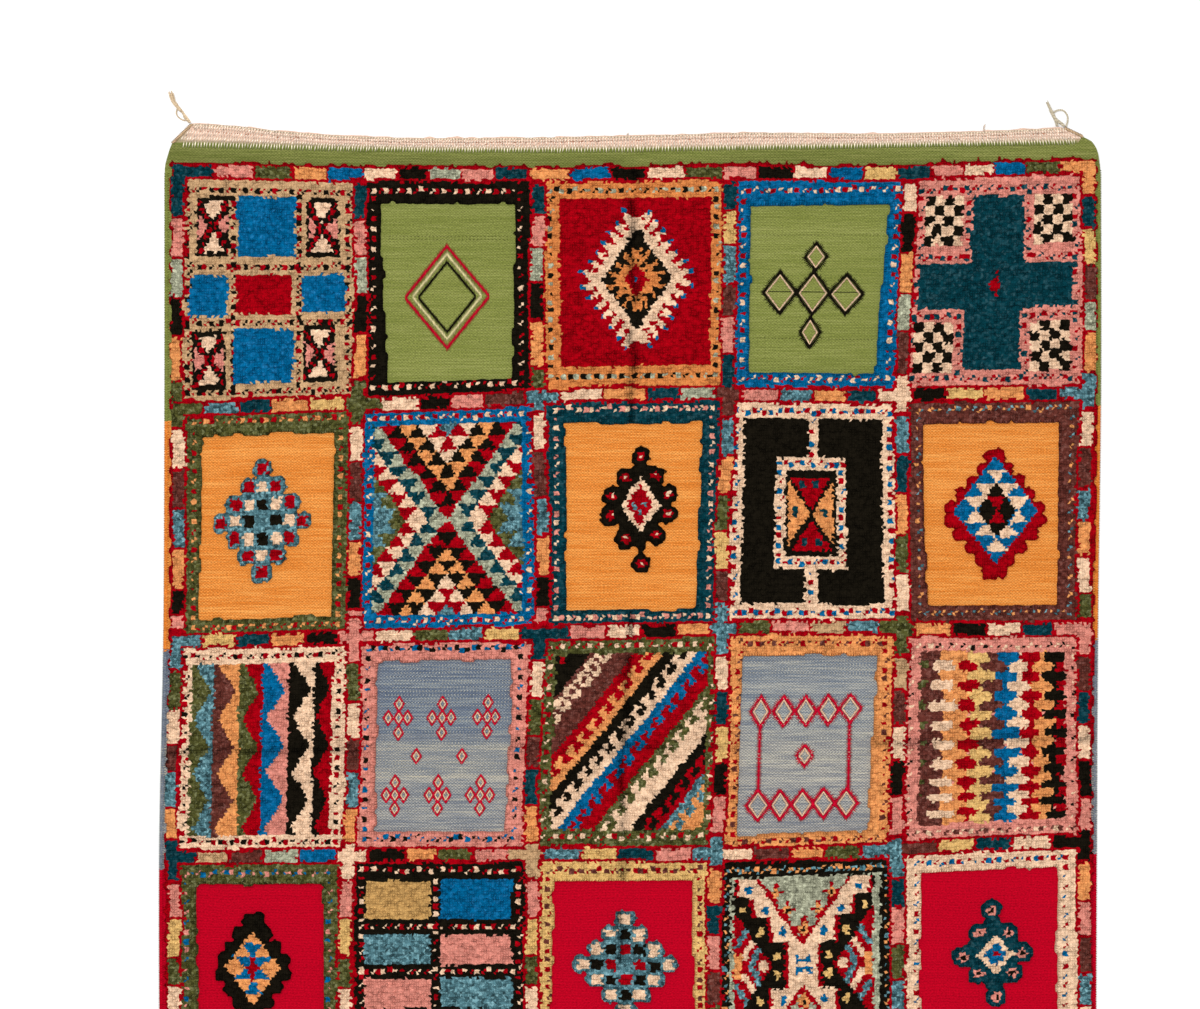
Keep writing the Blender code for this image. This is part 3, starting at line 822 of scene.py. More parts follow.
def stepped_cross(p):
    """A cross of cream arms that widen in steps, in black, with a sage triangle at each end and
    red sides."""
    p.box("A", (-131, 125, -154, 154))
    middle = (-6, -3)
    x, y = p.quarter(middle)
    inside = (x < 119) & (y < 148)
    outer = np.array((25, 54, 82, 110))[np.digitize(y, (39, 83, 118))]
    edge = 3 + (y - 41) * 0.69
    p.put("R", inside)
    for letter, start, end, width in (
        ("S", (113, 33), (94, 65), 9), ("C", (100, 14), (83, 45), 11), ("S", (87, 0), (74, 28), 10),
        ("C", (64, 0), (66, 2), 15), ("O", (111, 0), (110, 13), 15),
    ):
        p.stroke(letter, start, end, width, middle)
    p.put("K", inside & (x > outer + 6) & (x < 50 + 0.72 * y))
    p.put("A", inside & (x < edge - 3))
    p.put("R", inside & (x > edge - 3) & (x < outer + 6))
    p.put("C", inside & (x > edge + 4) & (x < outer))
    for letter, across, along, wide, tall in (
        ("B", 92, 131, 7, 6), ("B", 64, 95, 6, 6), ("B", 34, 58, 6, 8), ("M", 43, 14, 6, 5),
        ("M", 42, 21, 3, 4), ("M", 72, 61, 6, 6), ("M", 75, 53, 3, 4), ("M", 103, 97, 6, 5),
    ):
        p.put(letter, ((x - across) / wide) ** 2 + ((y - along) / tall) ** 2 < 1)
    p.put("B", (x < 12) & (y > 3) & (y < 9.5) | (x > 7) & (x < 13) & (y > 3) & (y < 18))
    for across, along, size in ((48, 124, 1), (26, 94, 1), (0, 60, 1.35)):
        dx, dy = np.abs(x - across) / size, np.abs(y - along) / size
        p.put("R", inside & ((dx / 10 + dy / 12 < 1) | ((dx < 14) & (dy < 3)) | ((dx < 3) & (dy < 16))))
        p.put("O", inside & (dx / 8 + dy / 10 < 1))
        p.put("K", inside & (dx / 3 + dy / 5 < 1))


# The panels by row and column: who draws the figure, the frame's yarn and its two yarns of dots,
# the lines of dots on the left, right, top and bottom, the pitch along the sides and along the
# ends, and how bold the dots are
PANELS = {
    (0, 0): (four_hourglasses, "H", "KR", -139, 137, -160, 170, 22, 20, 0.6),
    (0, 1): (None, "K", "CR", -133, 127, -165, 167, 33, 21, 0.6),
    (0, 2): (comb_medallion, "D", "AK", -135, 137, -165, 160, 33, 21, 0.75),
    (0, 3): (None, "B", "CR", -132, 134, -161, 166, 33, 20.5, 0.6),
    (0, 4): (cross_and_checks, "P", "TR", -135, 133, -158, 166, 33, 20, 0.6),
    (1, 0): (steel_medallion, "G", "OR", -129, 127, -172, 177, 34, 21, 0.6),
    (1, 1): (triangle_cross, "B", "CR", -136, 138, -168, 174, 33, 20.6, 0.5),
    (1, 2): (black_lobes, "T", "CP", -128, 130, -174, 172, 31, 20, 0.6),
    (1, 3): (bars_and_hourglass, "C", "BR", -138, 140, -167, 167, 31, 20, 0.8),
    (1, 4): (red_steps, "N", "OS", -126, 126, -171, 168, 31, 20, 0.1),
    (2, 0): (wave_columns, "C", "KR", -139, 131, -161, 167, 33, 22, 0.6),
    (2, 1): (None, "P", "BK", -132, 127, -167, 163, 34, 20, 0.6),
    (2, 2): (diagonals, "G", "CR", -136, 143, -168, 162, 33, 22, 0.7),
    (2, 3): (None, "O", "NR", -126, 129, -170, 174, 32, 20.5, 0.6),
    (2, 4): (brick_rows, "P", "KC", -140, 134, -162, 168, 40, 21, 0.2),
    (3, 0): (black_steps, "G", "PB", -133, 121, -166, 167, 33, 20.6, 0.3),
    (3, 1): (colour_blocks, "K", "CR", -137, 136, -171, 170, 28, 20, 0.6),
    (3, 2): (cream_medallion, "M", "NR", -127, 131, -170, 170, 31, 20, 0.6),
    (3, 3): (stepped_cross, "K", "OS", -138, 134, -166, 168, 26, 10.3, 0.2),
    (3, 4): (teal_lobes, "C", "BR", -128, 122, -168, 167, 33, 20, 0.4),
}


def draw_chart():
    """The whole chart: each panel's frame, flat field and figure, then the lattice."""
    chart = Chart()
    for (row, column), (figure, *frame_parts) in PANELS.items():
        panel = Panel(chart, row, column)
        panel.frame(*frame_parts)
        if (row, column) in FIELDS:
            panel.field(*FIELDS[row, column])
        if figure:
            figure(panel)
    chart.strips()
    chart.trim()
    chart.turn_over()
    chart.fray()
    return chart


def linear(colour):
    """A colour between 0 and 255 as the light it stands for."""
    part = np.asarray(colour, float) / 255
    return np.where(part <= 0.04045, part / 12.92, ((part + 0.055) / 1.055) ** 2.4)


YARN_LIGHT = linear(list(YARNS.values()))


def new_piece(name, points, faces, sizes, material, layers, smooth=False):
    """A mesh object from whole arrays: points in millimetres, of which only the used ones stay,
    faces as runs of point numbers, and layers of colour with one for every face corner. Its flat
    UV map is seen from above, over the piece's own box."""
    used, corners = np.unique(np.ravel(faces), return_inverse=True)
    sizes = np.asarray(sizes, np.int32)
    points = np.asarray(points, np.float32).reshape(-1, 3)[used] * MM
    mesh = bpy.data.meshes.new(name)
    mesh.vertices.add(len(points))
    mesh.vertices.foreach_set("co", points.ravel())
    mesh.loops.add(len(corners))
    mesh.loops.foreach_set("vertex_index", corners.astype(np.int32))
    mesh.polygons.add(len(sizes))
    mesh.polygons.foreach_set("loop_start", np.cumsum(sizes) - sizes)
    mesh.polygons.foreach_set("loop_total", sizes)
    mesh.polygons.foreach_set("use_smooth", np.full(len(sizes), smooth))
    mesh.update(calc_edges=True)
    mesh.validate()
    mesh.materials.append(material)
    for label, colours in layers.items():
        full = np.ones((len(corners), 4), np.float32)
        full[:, :3] = colours
        layer = mesh.color_attributes.new(label, "FLOAT_COLOR", "CORNER")
        layer.data.foreach_set("color", full.ravel())
    flat = points[:, :2]
    low, high = flat.min(axis=0), flat.max(axis=0)
    flat = 0.005 + 0.99 * (flat - low) / (high - low)
    mesh.uv_layers.new(name="OFBake").data.foreach_set("uv", flat[corners].ravel())
    piece = bpy.data.objects.new(name, mesh)
    bpy.context.collection.objects.link(piece)
    return piece


class Value:
    """A shader value. Sums and products of it become Math nodes."""

    def __init__(self, tree, socket):
        self.tree = tree
        self.socket = socket

    def node(self, kind, inputs, output=0, **settings):
        """Any node: what goes into its sockets, told by name or number, and its settings."""
        node = self.tree.nodes.new(kind)
        for name, setting in settings.items():
            setattr(node, name, setting)
        for key, value in inputs.items():
            if isinstance(value, Value):
                self.tree.links.new(value.socket, node.inputs[key])
            else:
                node.inputs[key].default_value = value
        return Value(self.tree, node.outputs[output])

    def math(self, operation, *values):
        """A Math node of values and numbers."""
        return self.node("ShaderNodeMath", dict(enumerate(values)), operation=operation)

    def __add__(self, other):
        return self.math("ADD", self, other)

    def __radd__(self, other):
        return self.math("ADD", other, self)

    def __sub__(self, other):
        return self.math("SUBTRACT", self, other)

    def __rsub__(self, other):
        return self.math("SUBTRACT", other, self)

    def __mul__(self, other):
        return self.math("MULTIPLY", self, other)

    def __rmul__(self, other):
        return self.math("MULTIPLY", other, self)

    def tint(self, amount):
        """This colour, each part of it times amount."""
        return self.node("ShaderNodeVectorMath", {0: self, "Scale": amount}, operation="SCALE")

    def mix(self, other, amount):
        """This colour, turned into another one by amount."""
        return self.node("ShaderNodeMix", {0: amount, 6: self, 7: other}, 2, data_type="RGBA")

    def yarn(self, name):
        """The colour that a mesh keeps under a name."""
        return self.node("ShaderNodeAttribute", {}, attribute_name=name)

    def noise(self, scale, detail, **others):
        """Noise between 0 and 1."""
        inputs = {"Vector": self, "Scale": scale, "Detail": detail, **others}
        return self.node("ShaderNodeTexNoise", inputs)

    def stretched_noise(self, scale, detail):
        """Noise whose grains are narrow along one direction."""
        squeezed = self.node("ShaderNodeVectorMath", {0: self, 1: scale}, operation="MULTIPLY")
        return squeezed.noise(1.0, detail, Roughness=0.6)


def wool_material(name, depth, look, *settings):
    """A new material without gloss. Its colour and the height of its bump come from its look."""
    material = bpy.data.materials.new(name)
    material.use_nodes = True
    tree = material.node_tree
    sockets = tree.nodes["Principled BSDF"].inputs
    sockets["Roughness"].default_value = 1.0
    sockets["Specular IOR Level"].default_value = 0.03
    where = Value(tree, tree.nodes.new("ShaderNodeTexCoord").outputs["Object"])
    colour, height = look(where, *settings)
    tree.links.new(colour.socket, sockets["Base Color"])
    bump = where.node("ShaderNodeBump", {"Height": height, "Strength": 1, "Distance": depth * MM})
    tree.links.new(bump.socket, sockets["Normal"])
    return material


def spun(where, fibre, amount):
    """A yarn's own colour from the mesh, uneven by the fibres' own tone and by curls, whose light and
    shade is painted in.
    """
    yarn = where.yarn("yarn")
    noise = where.noise(fibre, 3.0, Roughness=0.6)
    curl_tone_and_shade = where.stretched_noise((300, 560, 400), 1.0)
    return yarn.tint((1 - 2 * amount) + amount * noise + 3 * amount * curl_tone_and_shade), noise


def flat_weave(where):
    """Ribs of weft in which a second yarn shows as streaks, slow bands and fibre."""
    yarn, second = where.yarn("yarn"), where.yarn("second")
    across = where.node("ShaderNodeSeparateXYZ", {"Vector": where})
    along = Value(across.tree, across.socket.node.outputs["Y"])
    drift = where.noise(9.0, 2.0)
    ribs = where.math("SINE", along * (2 * math.pi / (RIB_PITCH * MM)) + drift * 16.0)
    warps = where.math("SINE", across * (2 * math.pi / (WARP_PITCH * MM)) + drift * 9.0)
    streak = where.stretched_noise((16, 340, 1), 4.0)
    band = where.stretched_noise((1.2, 55, 1), 2.0)
    speck = where.stretched_noise((300, 420, 1), 2.0)
    share = (streak - 0.5) * 4.5 + (band - 0.5) * 2.0 + 0.28 + 0.9 * ribs * warps
    share = where.math("MAXIMUM", where.math("MINIMUM", share, 1.0), 0.0)
    # The tone also holds painted shade: lighter and darker along the ribs and where the ribs cross the
    # warps
    tone = (0.72 + 0.2 * (band - 0.5) + 0.25 * (streak - 0.5) + 1.0 * (speck - 0.5) + 0.05 * ribs
            + 0.06 * ribs * warps)
    height = ribs * 0.4 + warps * 0.25 + speck
    return yarn.mix(second, share).tint(tone), height


def make_materials():
    """Every material by what it is for."""
    return {
        "pile": wool_material("knotted wool", 0.7, spun, 900, 0.34),
        "stitch": wool_material("laid-in wool", 0.4, spun, 900, 0.25),
        "heading": wool_material("twined cotton", 0.4, spun, 700, 0.22),
        "warp": wool_material("loose warp", 0.4, spun, 900, 0.3),
        "weave": wool_material("flat weave", 0.5, flat_weave),
    }


def knot_colours(yarn):
    """The colour of every knot: its yarn, heathered, streaked by rows and a little faded."""
    heather = np.array([HEATHERED.get(letter, PLAIN_HEATHER) for letter in LETTERS])
    pick = np.where(yarn == FLAT, 0, yarn)
    scatter = np.random.default_rng(3).normal(0, 1, yarn.shape)
    tone = 1 + heather[pick] * scatter + 0.03 * slow_noise(yarn.shape, 9, 4)
    tone += 0.03 * np.random.default_rng(5).normal(size=(len(yarn), 1))
    colours = YARN_LIGHT[pick] * np.clip(tone, 0.35, 1.9)[..., None]
    pale = 0.18 * ((heather[pick] - PLAIN_HEATHER) * np.clip(scatter, 0, 2.5))[..., None]
    return colours * (1 - pale) + pale * linear((190, 200, 190))


def four_corners(grid):
    """Every cell's upper left, lower left, lower right and upper right corner."""
    return grid[:-1, :-1], grid[1:, :-1], grid[1:, 1:], grid[:-1, 1:]


def middle_of(grid):
    """The mean of the four corners of every cell."""
    return (grid[:-1, :-1] + grid[:-1, 1:] + grid[1:, :-1] + grid[1:, 1:]) / 4


def rounded(values, around):
    """Points along the edge of the pile are drawn half way to the mean of their two neighbours on
    that edge, then a quarter of the way back out, which rounds the steps between knots."""
    right = (around[3] != around[2])[:, :-1]
    down = (around[1] != around[2])[:-1]

    def smoothed(grid):
        total, count = 2 * grid, np.full(grid.shape, 2)
        for edge, one, other in ((right, np.s_[:, :-1], np.s_[:, 1:]), (down, np.s_[:-1], np.s_[1:])):
            total[one] += edge * grid[other]
            total[other] += edge * grid[one]
            count[one] += edge
            count[other] += edge
        return total / count

    once = smoothed(values)
    return 1.5 * once - 0.5 * smoothed(once)


def pile_points(chart):
    """The relief of the pile: a net of points between the knots and a tip above every knot, all
    of uneven height, so that the tufts run into each other in places. Points beside flat weave
    go down to it, and the creases part the tufts. Also returns the painted shade of each point,
    the deeper the darker and darkest in the creases, and a painted highlight on every tip."""
    u, v = np.meshgrid(COLUMN_LINES, ROW_LINES)
    around = four_corners(np.pad(chart.yarn != FLAT, 1, constant_values=False))
    full = np.logical_and.reduce(around)
    dice = np.random.default_rng(11)
    x, y = place(u, v)
    loose = np.where(full, 1.0, 0.8)
    stagger = 0.9 * (-1.0) ** np.arange(len(ROW_LINES))[:, None]
    x = x + loose * (dice.uniform(-1.6, 1.6, x.shape) + stagger)
    y = y + loose * dice.uniform(-1.5, 1.5, y.shape)
    x, y = rounded(x, around), rounded(y, around)
    scatter = dice.normal(size=x.shape)
    deep = np.clip(0.42 + 0.27 * (scatter + 0.6 * np.roll(scatter, 1, 1)), 0, 1)
    from_first = (u - COLUMNS / 2) * COLUMN_PITCH - CREASE_ALONG[0]
    from_first = from_first + 4 * slow_noise((len(x), 1), 9, 14)
    from_second = (ROWS / 2 - v) * ROW_PITCH - CREASE_ACROSS[0]
    parting = np.maximum(np.exp(-((from_first / 7) ** 2)), 0.7 * np.exp(-((from_second / 6) ** 2)))
    parting = parting * np.clip(0.8 + 0.5 * slow_noise(x.shape, 6, 13), 0, 1)
    parting = parting * dice.uniform(0.4, 1.2, x.shape)
    deep = np.maximum(deep, parting)
    z = np.where(full, PILE_TOP - NET_BELOW - HOLLOW_DEPTH * deep + lift(x, y),
                 WEAVE_TOP - 0.4 + lift(x, y) * WEAVE_TOP / PILE_TOP)
    # Painted shade: the deeper a point lies, and the nearer a crease, the darker it is
    light = np.where(full, np.clip(0.88 - 0.42 * deep - 0.60 * parting, 0.1, 1), 0.5)
    knots = chart.yarn.shape
    tip_x = middle_of(x) + dice.uniform(-0.8, 0.8, knots)
    tip_y = middle_of(y) - 0.4 + dice.uniform(-0.8, 0.8, knots)
    low = np.clip(dice.beta(1.2, 3.4, knots), 0, 1)
    tip_z = PILE_TOP + TIP_ABOVE - TIP_SCATTER * low + lift(tip_x, tip_y)
    tips = np.stack((tip_x, tip_y, tip_z), -1)
    # Painted highlight on the tips, less on low tips and in the creases
    tip_light = 1.12 - 0.26 * low - 0.55 * middle_of(parting)
    return np.stack((x, y, z), -1), light, full, tips, tip_light


def make_pile(chart, material):
    """Seven closed reliefs, one for each row of panels: four triangles to a knot on top, and
    one long face under every run of knots."""
    corners, light, full, tips, tip_light = pile_points(chart)
    colours = knot_colours(chart.yarn)
    cuts = [0] + [END_KNOTS + row * ALONG for row in range(1, ROWS)] + [len(chart.yarn)]
    pieces = []
    for number, (first, last) in enumerate(zip(cuts, cuts[1:])):
        here = chart.yarn[first:last] != FLAT
        raised = full[first:last + 1]
        own = np.arange(raised.size).reshape(raised.shape)
        ring = np.stack(four_corners(own), -1)[here]
        after = np.roll(ring, -1, axis=1)
        tip = np.broadcast_to(raised.size + np.arange(len(ring))[:, None], ring.shape)
        top = np.stack((ring, after, tip), -1)
        # Each knot's four triangles are painted with the shade of the hollows at its corners and the
        # highlight of its tip
        shade = light[first:last + 1].ravel()
        gloss = np.broadcast_to(tip_light[first:last][here][:, None], ring.shape)
        factor = np.stack((shade[ring], shade[after], gloss), -1)
        top_colours = colours[first:last][here][:, None, None, :] * factor[..., None]
        under, under_sizes = underside(here, own, own + raised * (raised.size + len(ring)))
        lines = corners[first:last + 1].reshape(-1, 3)
        sunken = lines * (1, 1, 0) + (0, 0, WEAVE_TOP - 1.5)
        # The faces underneath are painted near black, as shade
        pieces.append(new_piece(
            f"pile_{number + 1}", np.concatenate((lines, tips[first:last][here], sunken)),
            np.concatenate((top.ravel(), under)),
            np.concatenate((np.full(ring.size, 3), under_sizes)), material,
            {"yarn": np.concatenate((top_colours.reshape(-1, 3), np.full((len(under), 3), 0.05)))},
        ))
    return pieces


def underside(here, own, low):
    """One face under every run of knots in a row, seen from below, with all its rim points and
    a few between them, and a wall where the relief is cut between two pieces. own is the number
    of each point and low that of its lower end: its own beside flat weave, elsewhere that of a
    point sunk below."""
    around = four_corners(np.pad(here, 1, constant_values=False))
    full = np.logical_and.reduce(around)
    rim = np.logical_or.reduce(around) & (~full | (np.arange(own.shape[1]) % UNDER_STEP == 0))
    faces = []
    for row, run in enumerate(here):
        edges = np.flatnonzero(np.diff(np.pad(run.astype(int), 1)))
        for start, end in zip(edges[::2], edges[1::2]):
            upper = start + np.flatnonzero(rim[row, start:end + 1])
            lower = start + np.flatnonzero(rim[row + 1, start:end + 1])
            faces.append(np.concatenate((low[row, upper], low[row + 1, lower[::-1]])))
    for line, turn in ((0, 1), (-1, -1)):
        for at in np.flatnonzero(here[line]):
            wall = [own[line, at], own[line, at + 1], low[line, at + 1], low[line, at]]
            wall = list(dict.fromkeys(wall[::turn]))
            if len(wall) > 2:
                faces.append(np.array(wall))
    return np.concatenate(faces), np.array([len(face) for face in faces])


def interpolate(table, at):
    """A value between the listed ones, in a straight line."""
    return np.interp(at, *np.transpose(table))


def slab(name, top, layers, under_colour, material):
    """A closed sheet: its upper face is a grid of points, its lower face lies on the floor. The
    layers are its colours, one for each point or each face of the grid."""
    height, width = top.shape[:2]
    count = height * width
    number = np.arange(count).reshape(height, width)
    quads = np.stack(four_corners(number), -1)
    below = number + count
    ring = np.concatenate((number[0, ::-1], number[1:, 0], number[-1, 1:], number[-2:0:-1, -1]))
    after = np.roll(ring, -1)
    walls = np.stack((ring, ring + count, after + count, after), -1)
    across = np.stack((below[1:-2, 0], below[1:-2, -1], below[2:-1, -1], below[2:-1, 0]), -1)
    ends = (np.concatenate((below[0], below[1, [-1, 0]])),
            np.concatenate((below[-2, [0, -1]], below[-1, ::-1])))
    faces = np.concatenate((quads.ravel(), walls.ravel(), across.ravel(), *ends))
    sizes = [4] * (quads[..., 0].size + len(walls) + len(across)) + [len(end) for end in ends]
    painted = {}
    for label, colours in layers.items():
        full = np.broadcast_to(linear(under_colour), (len(faces), 3)).copy()
        by_point = colours.shape[:2] == top.shape[:2]
        full[:quads.size] = (colours.reshape(-1, 3)[quads.ravel()] if by_point
                             else np.repeat(colours.reshape(-1, 3), 4, axis=0))
        painted[label] = full
    points = np.concatenate((top.reshape(-1, 3), (top * (1, 1, 0)).reshape(-1, 3)))
    return new_piece(name, points, faces, sizes, material, painted)


def make_ground(material):
    """The flat weave: the grid follows the lattice, its edges the corners and selvedges. Its
    columns lie closer beside the uprights and along the middle crease."""
    parts = (0, 0.06, 0.12, 0.25, 0.5, 0.75, 0.88, 0.94)
    crease = {COLUMNS / 2 + number * 0.02 for number in range(-4, 5)}
    columns = sorted({column + part for column in range(COLUMNS) for part in parts} | crease)
    columns = np.array([-1] + columns + [COLUMNS, COLUMNS + 1], float)
    to_a_row = 20
    rows = np.arange(ROWS * to_a_row + 1)[:, None] / to_a_row
    fractions = np.array((1, 0.93, 0.85, 0.75, 0.6, 0.4, 0.2))[:, None]
    out = interpolate(BAND_EDGE, columns) / ROW_PITCH
    v = np.concatenate((-out * fractions, np.broadcast_to(rows, (len(rows), len(columns))),
                        ROWS + out * fractions[::-1]))
    beyond = np.maximum(-v, v - ROWS) * ROW_PITCH
    left = interpolate(LEFT_CORNER, beyond[:, 0]) / COLUMN_PITCH
    right = COLUMNS + interpolate(RIGHT_CORNER, beyond[:, -1]) / COLUMN_PITCH
    margin = 3 / COLUMN_PITCH
    u = np.clip(columns, left[:, None] + margin, right[:, None] - margin)
    u[:, 0], u[:, -1] = left, right
    x, y = place(u, v)
    top = np.stack((x, y, WEAVE_TOP * (1 + lift(x, y) / PILE_TOP)), -1)
    u, v = middle_of(u), middle_of(v)
    folded = np.minimum(v, ROWS - v)
    row = np.clip(np.floor(folded - COLOUR_CHANGE / ROW_PITCH), 0, ROWS // 2).astype(int)
    ends = (v < 0) | (v > ROWS)
    mottle = 0.91 + 0.14 * u / COLUMNS + 0.07 * slow_noise(v.shape, 3, 31)
    layers = {}
    for number, (label, table) in enumerate((("yarn", FIELD_COLOURS), ("second", SECOND_COLOURS))):
        colours = linear(table)[row]
        for half, side in ((u < COLUMNS / 2, 1 + number), (u >= COLUMNS / 2, 3 + number)):
            pick = (row == GREY_ROW) & half
            greys = linear([zone[side] for zone in GREY_ZONES])
            for channel in range(3):
                colours[pick, channel] = np.interp(
                    folded[pick] - GREY_ROW, [zone[0] for zone in GREY_ZONES], greys[:, channel],
                )
        colours[ends] = mottle[ends][:, None] * linear(END_COLOURS[number])
        layers[label] = colours
    return slab("ground_weave", top, layers, END_COLOURS[0], material)


def beyond_end(away, side):
    """The row of a place that lies away from the upper end (side 1) or the lower one (-1)."""
    return -away / ROW_PITCH if side > 0 else ROWS + away / ROW_PITCH


def uneven(colour, count, seed, amount):
    """One colour for each stitch, a little lighter or darker by turns."""
    tone = np.random.default_rng(seed).normal(1, amount, (count, 1))
    return linear(colour) * np.clip(tone, 0.5, 1.5)


class Needle:
    """Collects short stitches of yarn: their places on the lattice, angles, lengths, widths and
    colours. Diamonds and lines of them are given in millimetres from a panel's middle."""

    def __init__(self):
        self.dice = np.random.default_rng(33)
        self.grains = []

    def lay(self, column, row, angle, length, width, colours):
        """Stitches whose middles lie at a column and row of the lattice."""
        grain = np.broadcast_arrays(column, row, angle, length, width)
        self.grains.append((*grain, colours))

    def lay_in(self, panel, x, y, angle, length, width, letter):
        """Stitches on a panel, and once more on the one that mirrors it in the lower half."""
        row, column = panel
        u, v = column + 0.5 + x / COLUMN_PITCH, row + 0.5 + y / ROW_PITCH
        for place_along, turned in ((v, -angle), (ROWS - v, angle)):
            tone = self.dice.normal(1, 0.1, (len(u), 1))
            self.lay(u, place_along, turned, length, width, YARN_LIGHT[LETTERS.index(letter)] * tone)

    def diamond(self, panel, x, y, half_width, half_height, letter, length, width, pitch,
                upright=False, outward=0.5):
        """Strokes along the edge of a diamond. They point away from its middle, or stand
        upright; outward says how much of a stroke lies outside the edge."""
        count = max(4, round(math.hypot(half_width, half_height) / pitch))
        t = (np.arange(4 * count) + 0.5) / count
        quarter = t.astype(int)
        part = t - quarter
        right = np.choose(quarter, (part, 1 - part, -part, part - 1))
        down = np.choose(quarter, (part - 1, part, 1 - part, -part))
        dice = np.random.default_rng(abs(int(x * 7 + y * 13)) + count)
        aim = np.sign(down) * math.pi / 2 if upright else np.arctan2(down, right)
        reach = length * dice.uniform(0.7, 1.2, len(t))
        move = (outward - 0.5) * reach
        self.lay_in(panel, x + right * half_width + np.cos(aim) * move,
                    y + down * half_height + np.sin(aim) * move, aim, reach, width, letter)

    def line(self, panel, x0, y0, x1, y1, letter, length, width, pitch, across=True):
        """Strokes along a straight line, lying across it or end to end."""
        count = max(2, round(math.hypot(x1 - x0, y1 - y0) / pitch))
        t = (np.arange(count) + 0.5) / count
        angle = math.atan2(y1 - y0, x1 - x0) + (math.pi / 2 if across else 0)
        dice = np.random.default_rng(abs(int(x0 * 5 + y0 * 3)) + count)
        self.lay_in(panel, x0 + (x1 - x0) * t, y0 + (y1 - y0) * t, angle,
                    length * dice.uniform(0.75, 1.2, count), width, letter)

    def sew(self, name, height, base, share, material):
        """Each stitch is a closed grain pointed at both ends: a crosswise ring of three points
        halfway between its ends, one on top and two below. It stands on a base that follows a
        share of the cloth's lift."""
        column, row, angle, length, width, colours = map(np.concatenate, zip(*self.grains))
        x, y = place(column, row)
        flat = np.zeros_like(x)
        along = np.stack((np.cos(angle), np.sin(angle), flat), -1) * length[:, None] / 2
        side = np.stack((-np.sin(angle), np.cos(angle), flat), -1) * width[:, None] / 2
        up = np.array((0, 0, height / 2))
        middle = np.stack((x, y, base + lift(x, y) * share + height / 2), -1)
        points = np.stack((middle + along, middle - along, middle + side - up / 2, middle + up,
                           middle - side - up / 2), 1)
        grain = np.array([(0, 2, 3), (0, 3, 4), (0, 4, 2), (1, 3, 2), (1, 4, 3), (1, 2, 4)])
        faces = np.arange(len(x))[:, None, None] * 5 + grain
        # Painted light and shade: each grain darker at its two ends and lower sides, lightest on top
        light = np.array([0.62, 0.62, 0.72, 1.08, 0.72])[grain].ravel()
        shaded = (colours[:, None, :] * light[None, :, None]).reshape(-1, 3)
        return new_piece(name, points, faces, np.full(len(x) * 6, 3), material, {"yarn": shaded},
                         True)


def heading_body(name, side, edge, material):
    """The flat body of a heading, green where it meets the cloth."""
    s = np.linspace(0, 1, 361)
    t = np.linspace(0, 1, 7)[:, None]
    inner_column, outer_column = 0.06 + 4.87 * s, 0.08 + 4.79 * s
    column = inner_column * (1 - t) + outer_column * t
    outer = interpolate(edge, outer_column) + 0.8 * slow_noise((len(s), 1), 3, 45)[:, 0]
    out = HEADING_FOOT + (outer - HEADING_FOOT) * t
    column, out = (np.pad(grid, ((0, 0), (1, 1))) for grid in (column, out))
    for base, (right, away), index in ((0, HEADING_ENDS[0], 0), (COLUMNS, HEADING_ENDS[1], -1)):
        nearer = -1.5 if index else 1.5
        column[:, index] = base + (right + nearer * (1 - t[:, 0])) / COLUMN_PITCH
        out[:, index] = away + 2 * t[:, 0] - 1
    x, y = place(column, beyond_end(out, side))
    if side > 0:
        x, y, out = x[::-1], y[::-1], out[::-1]
    top = np.stack((x, y, np.full_like(x, 3.0)), -1)
    green_reach = np.interp(column, (0.1, 0.7, 1.6), (15, 14, 11))
    green = np.clip((END_BAND + green_reach - out) / 6, 0, 1)[..., None]
    body = linear(HEADING_YARNS["body"]) * (1 - green) + linear(HEADING_YARNS["green"]) * green
    return slab(name, top, {"yarn": body}, HEADING_YARNS["underside"], material)


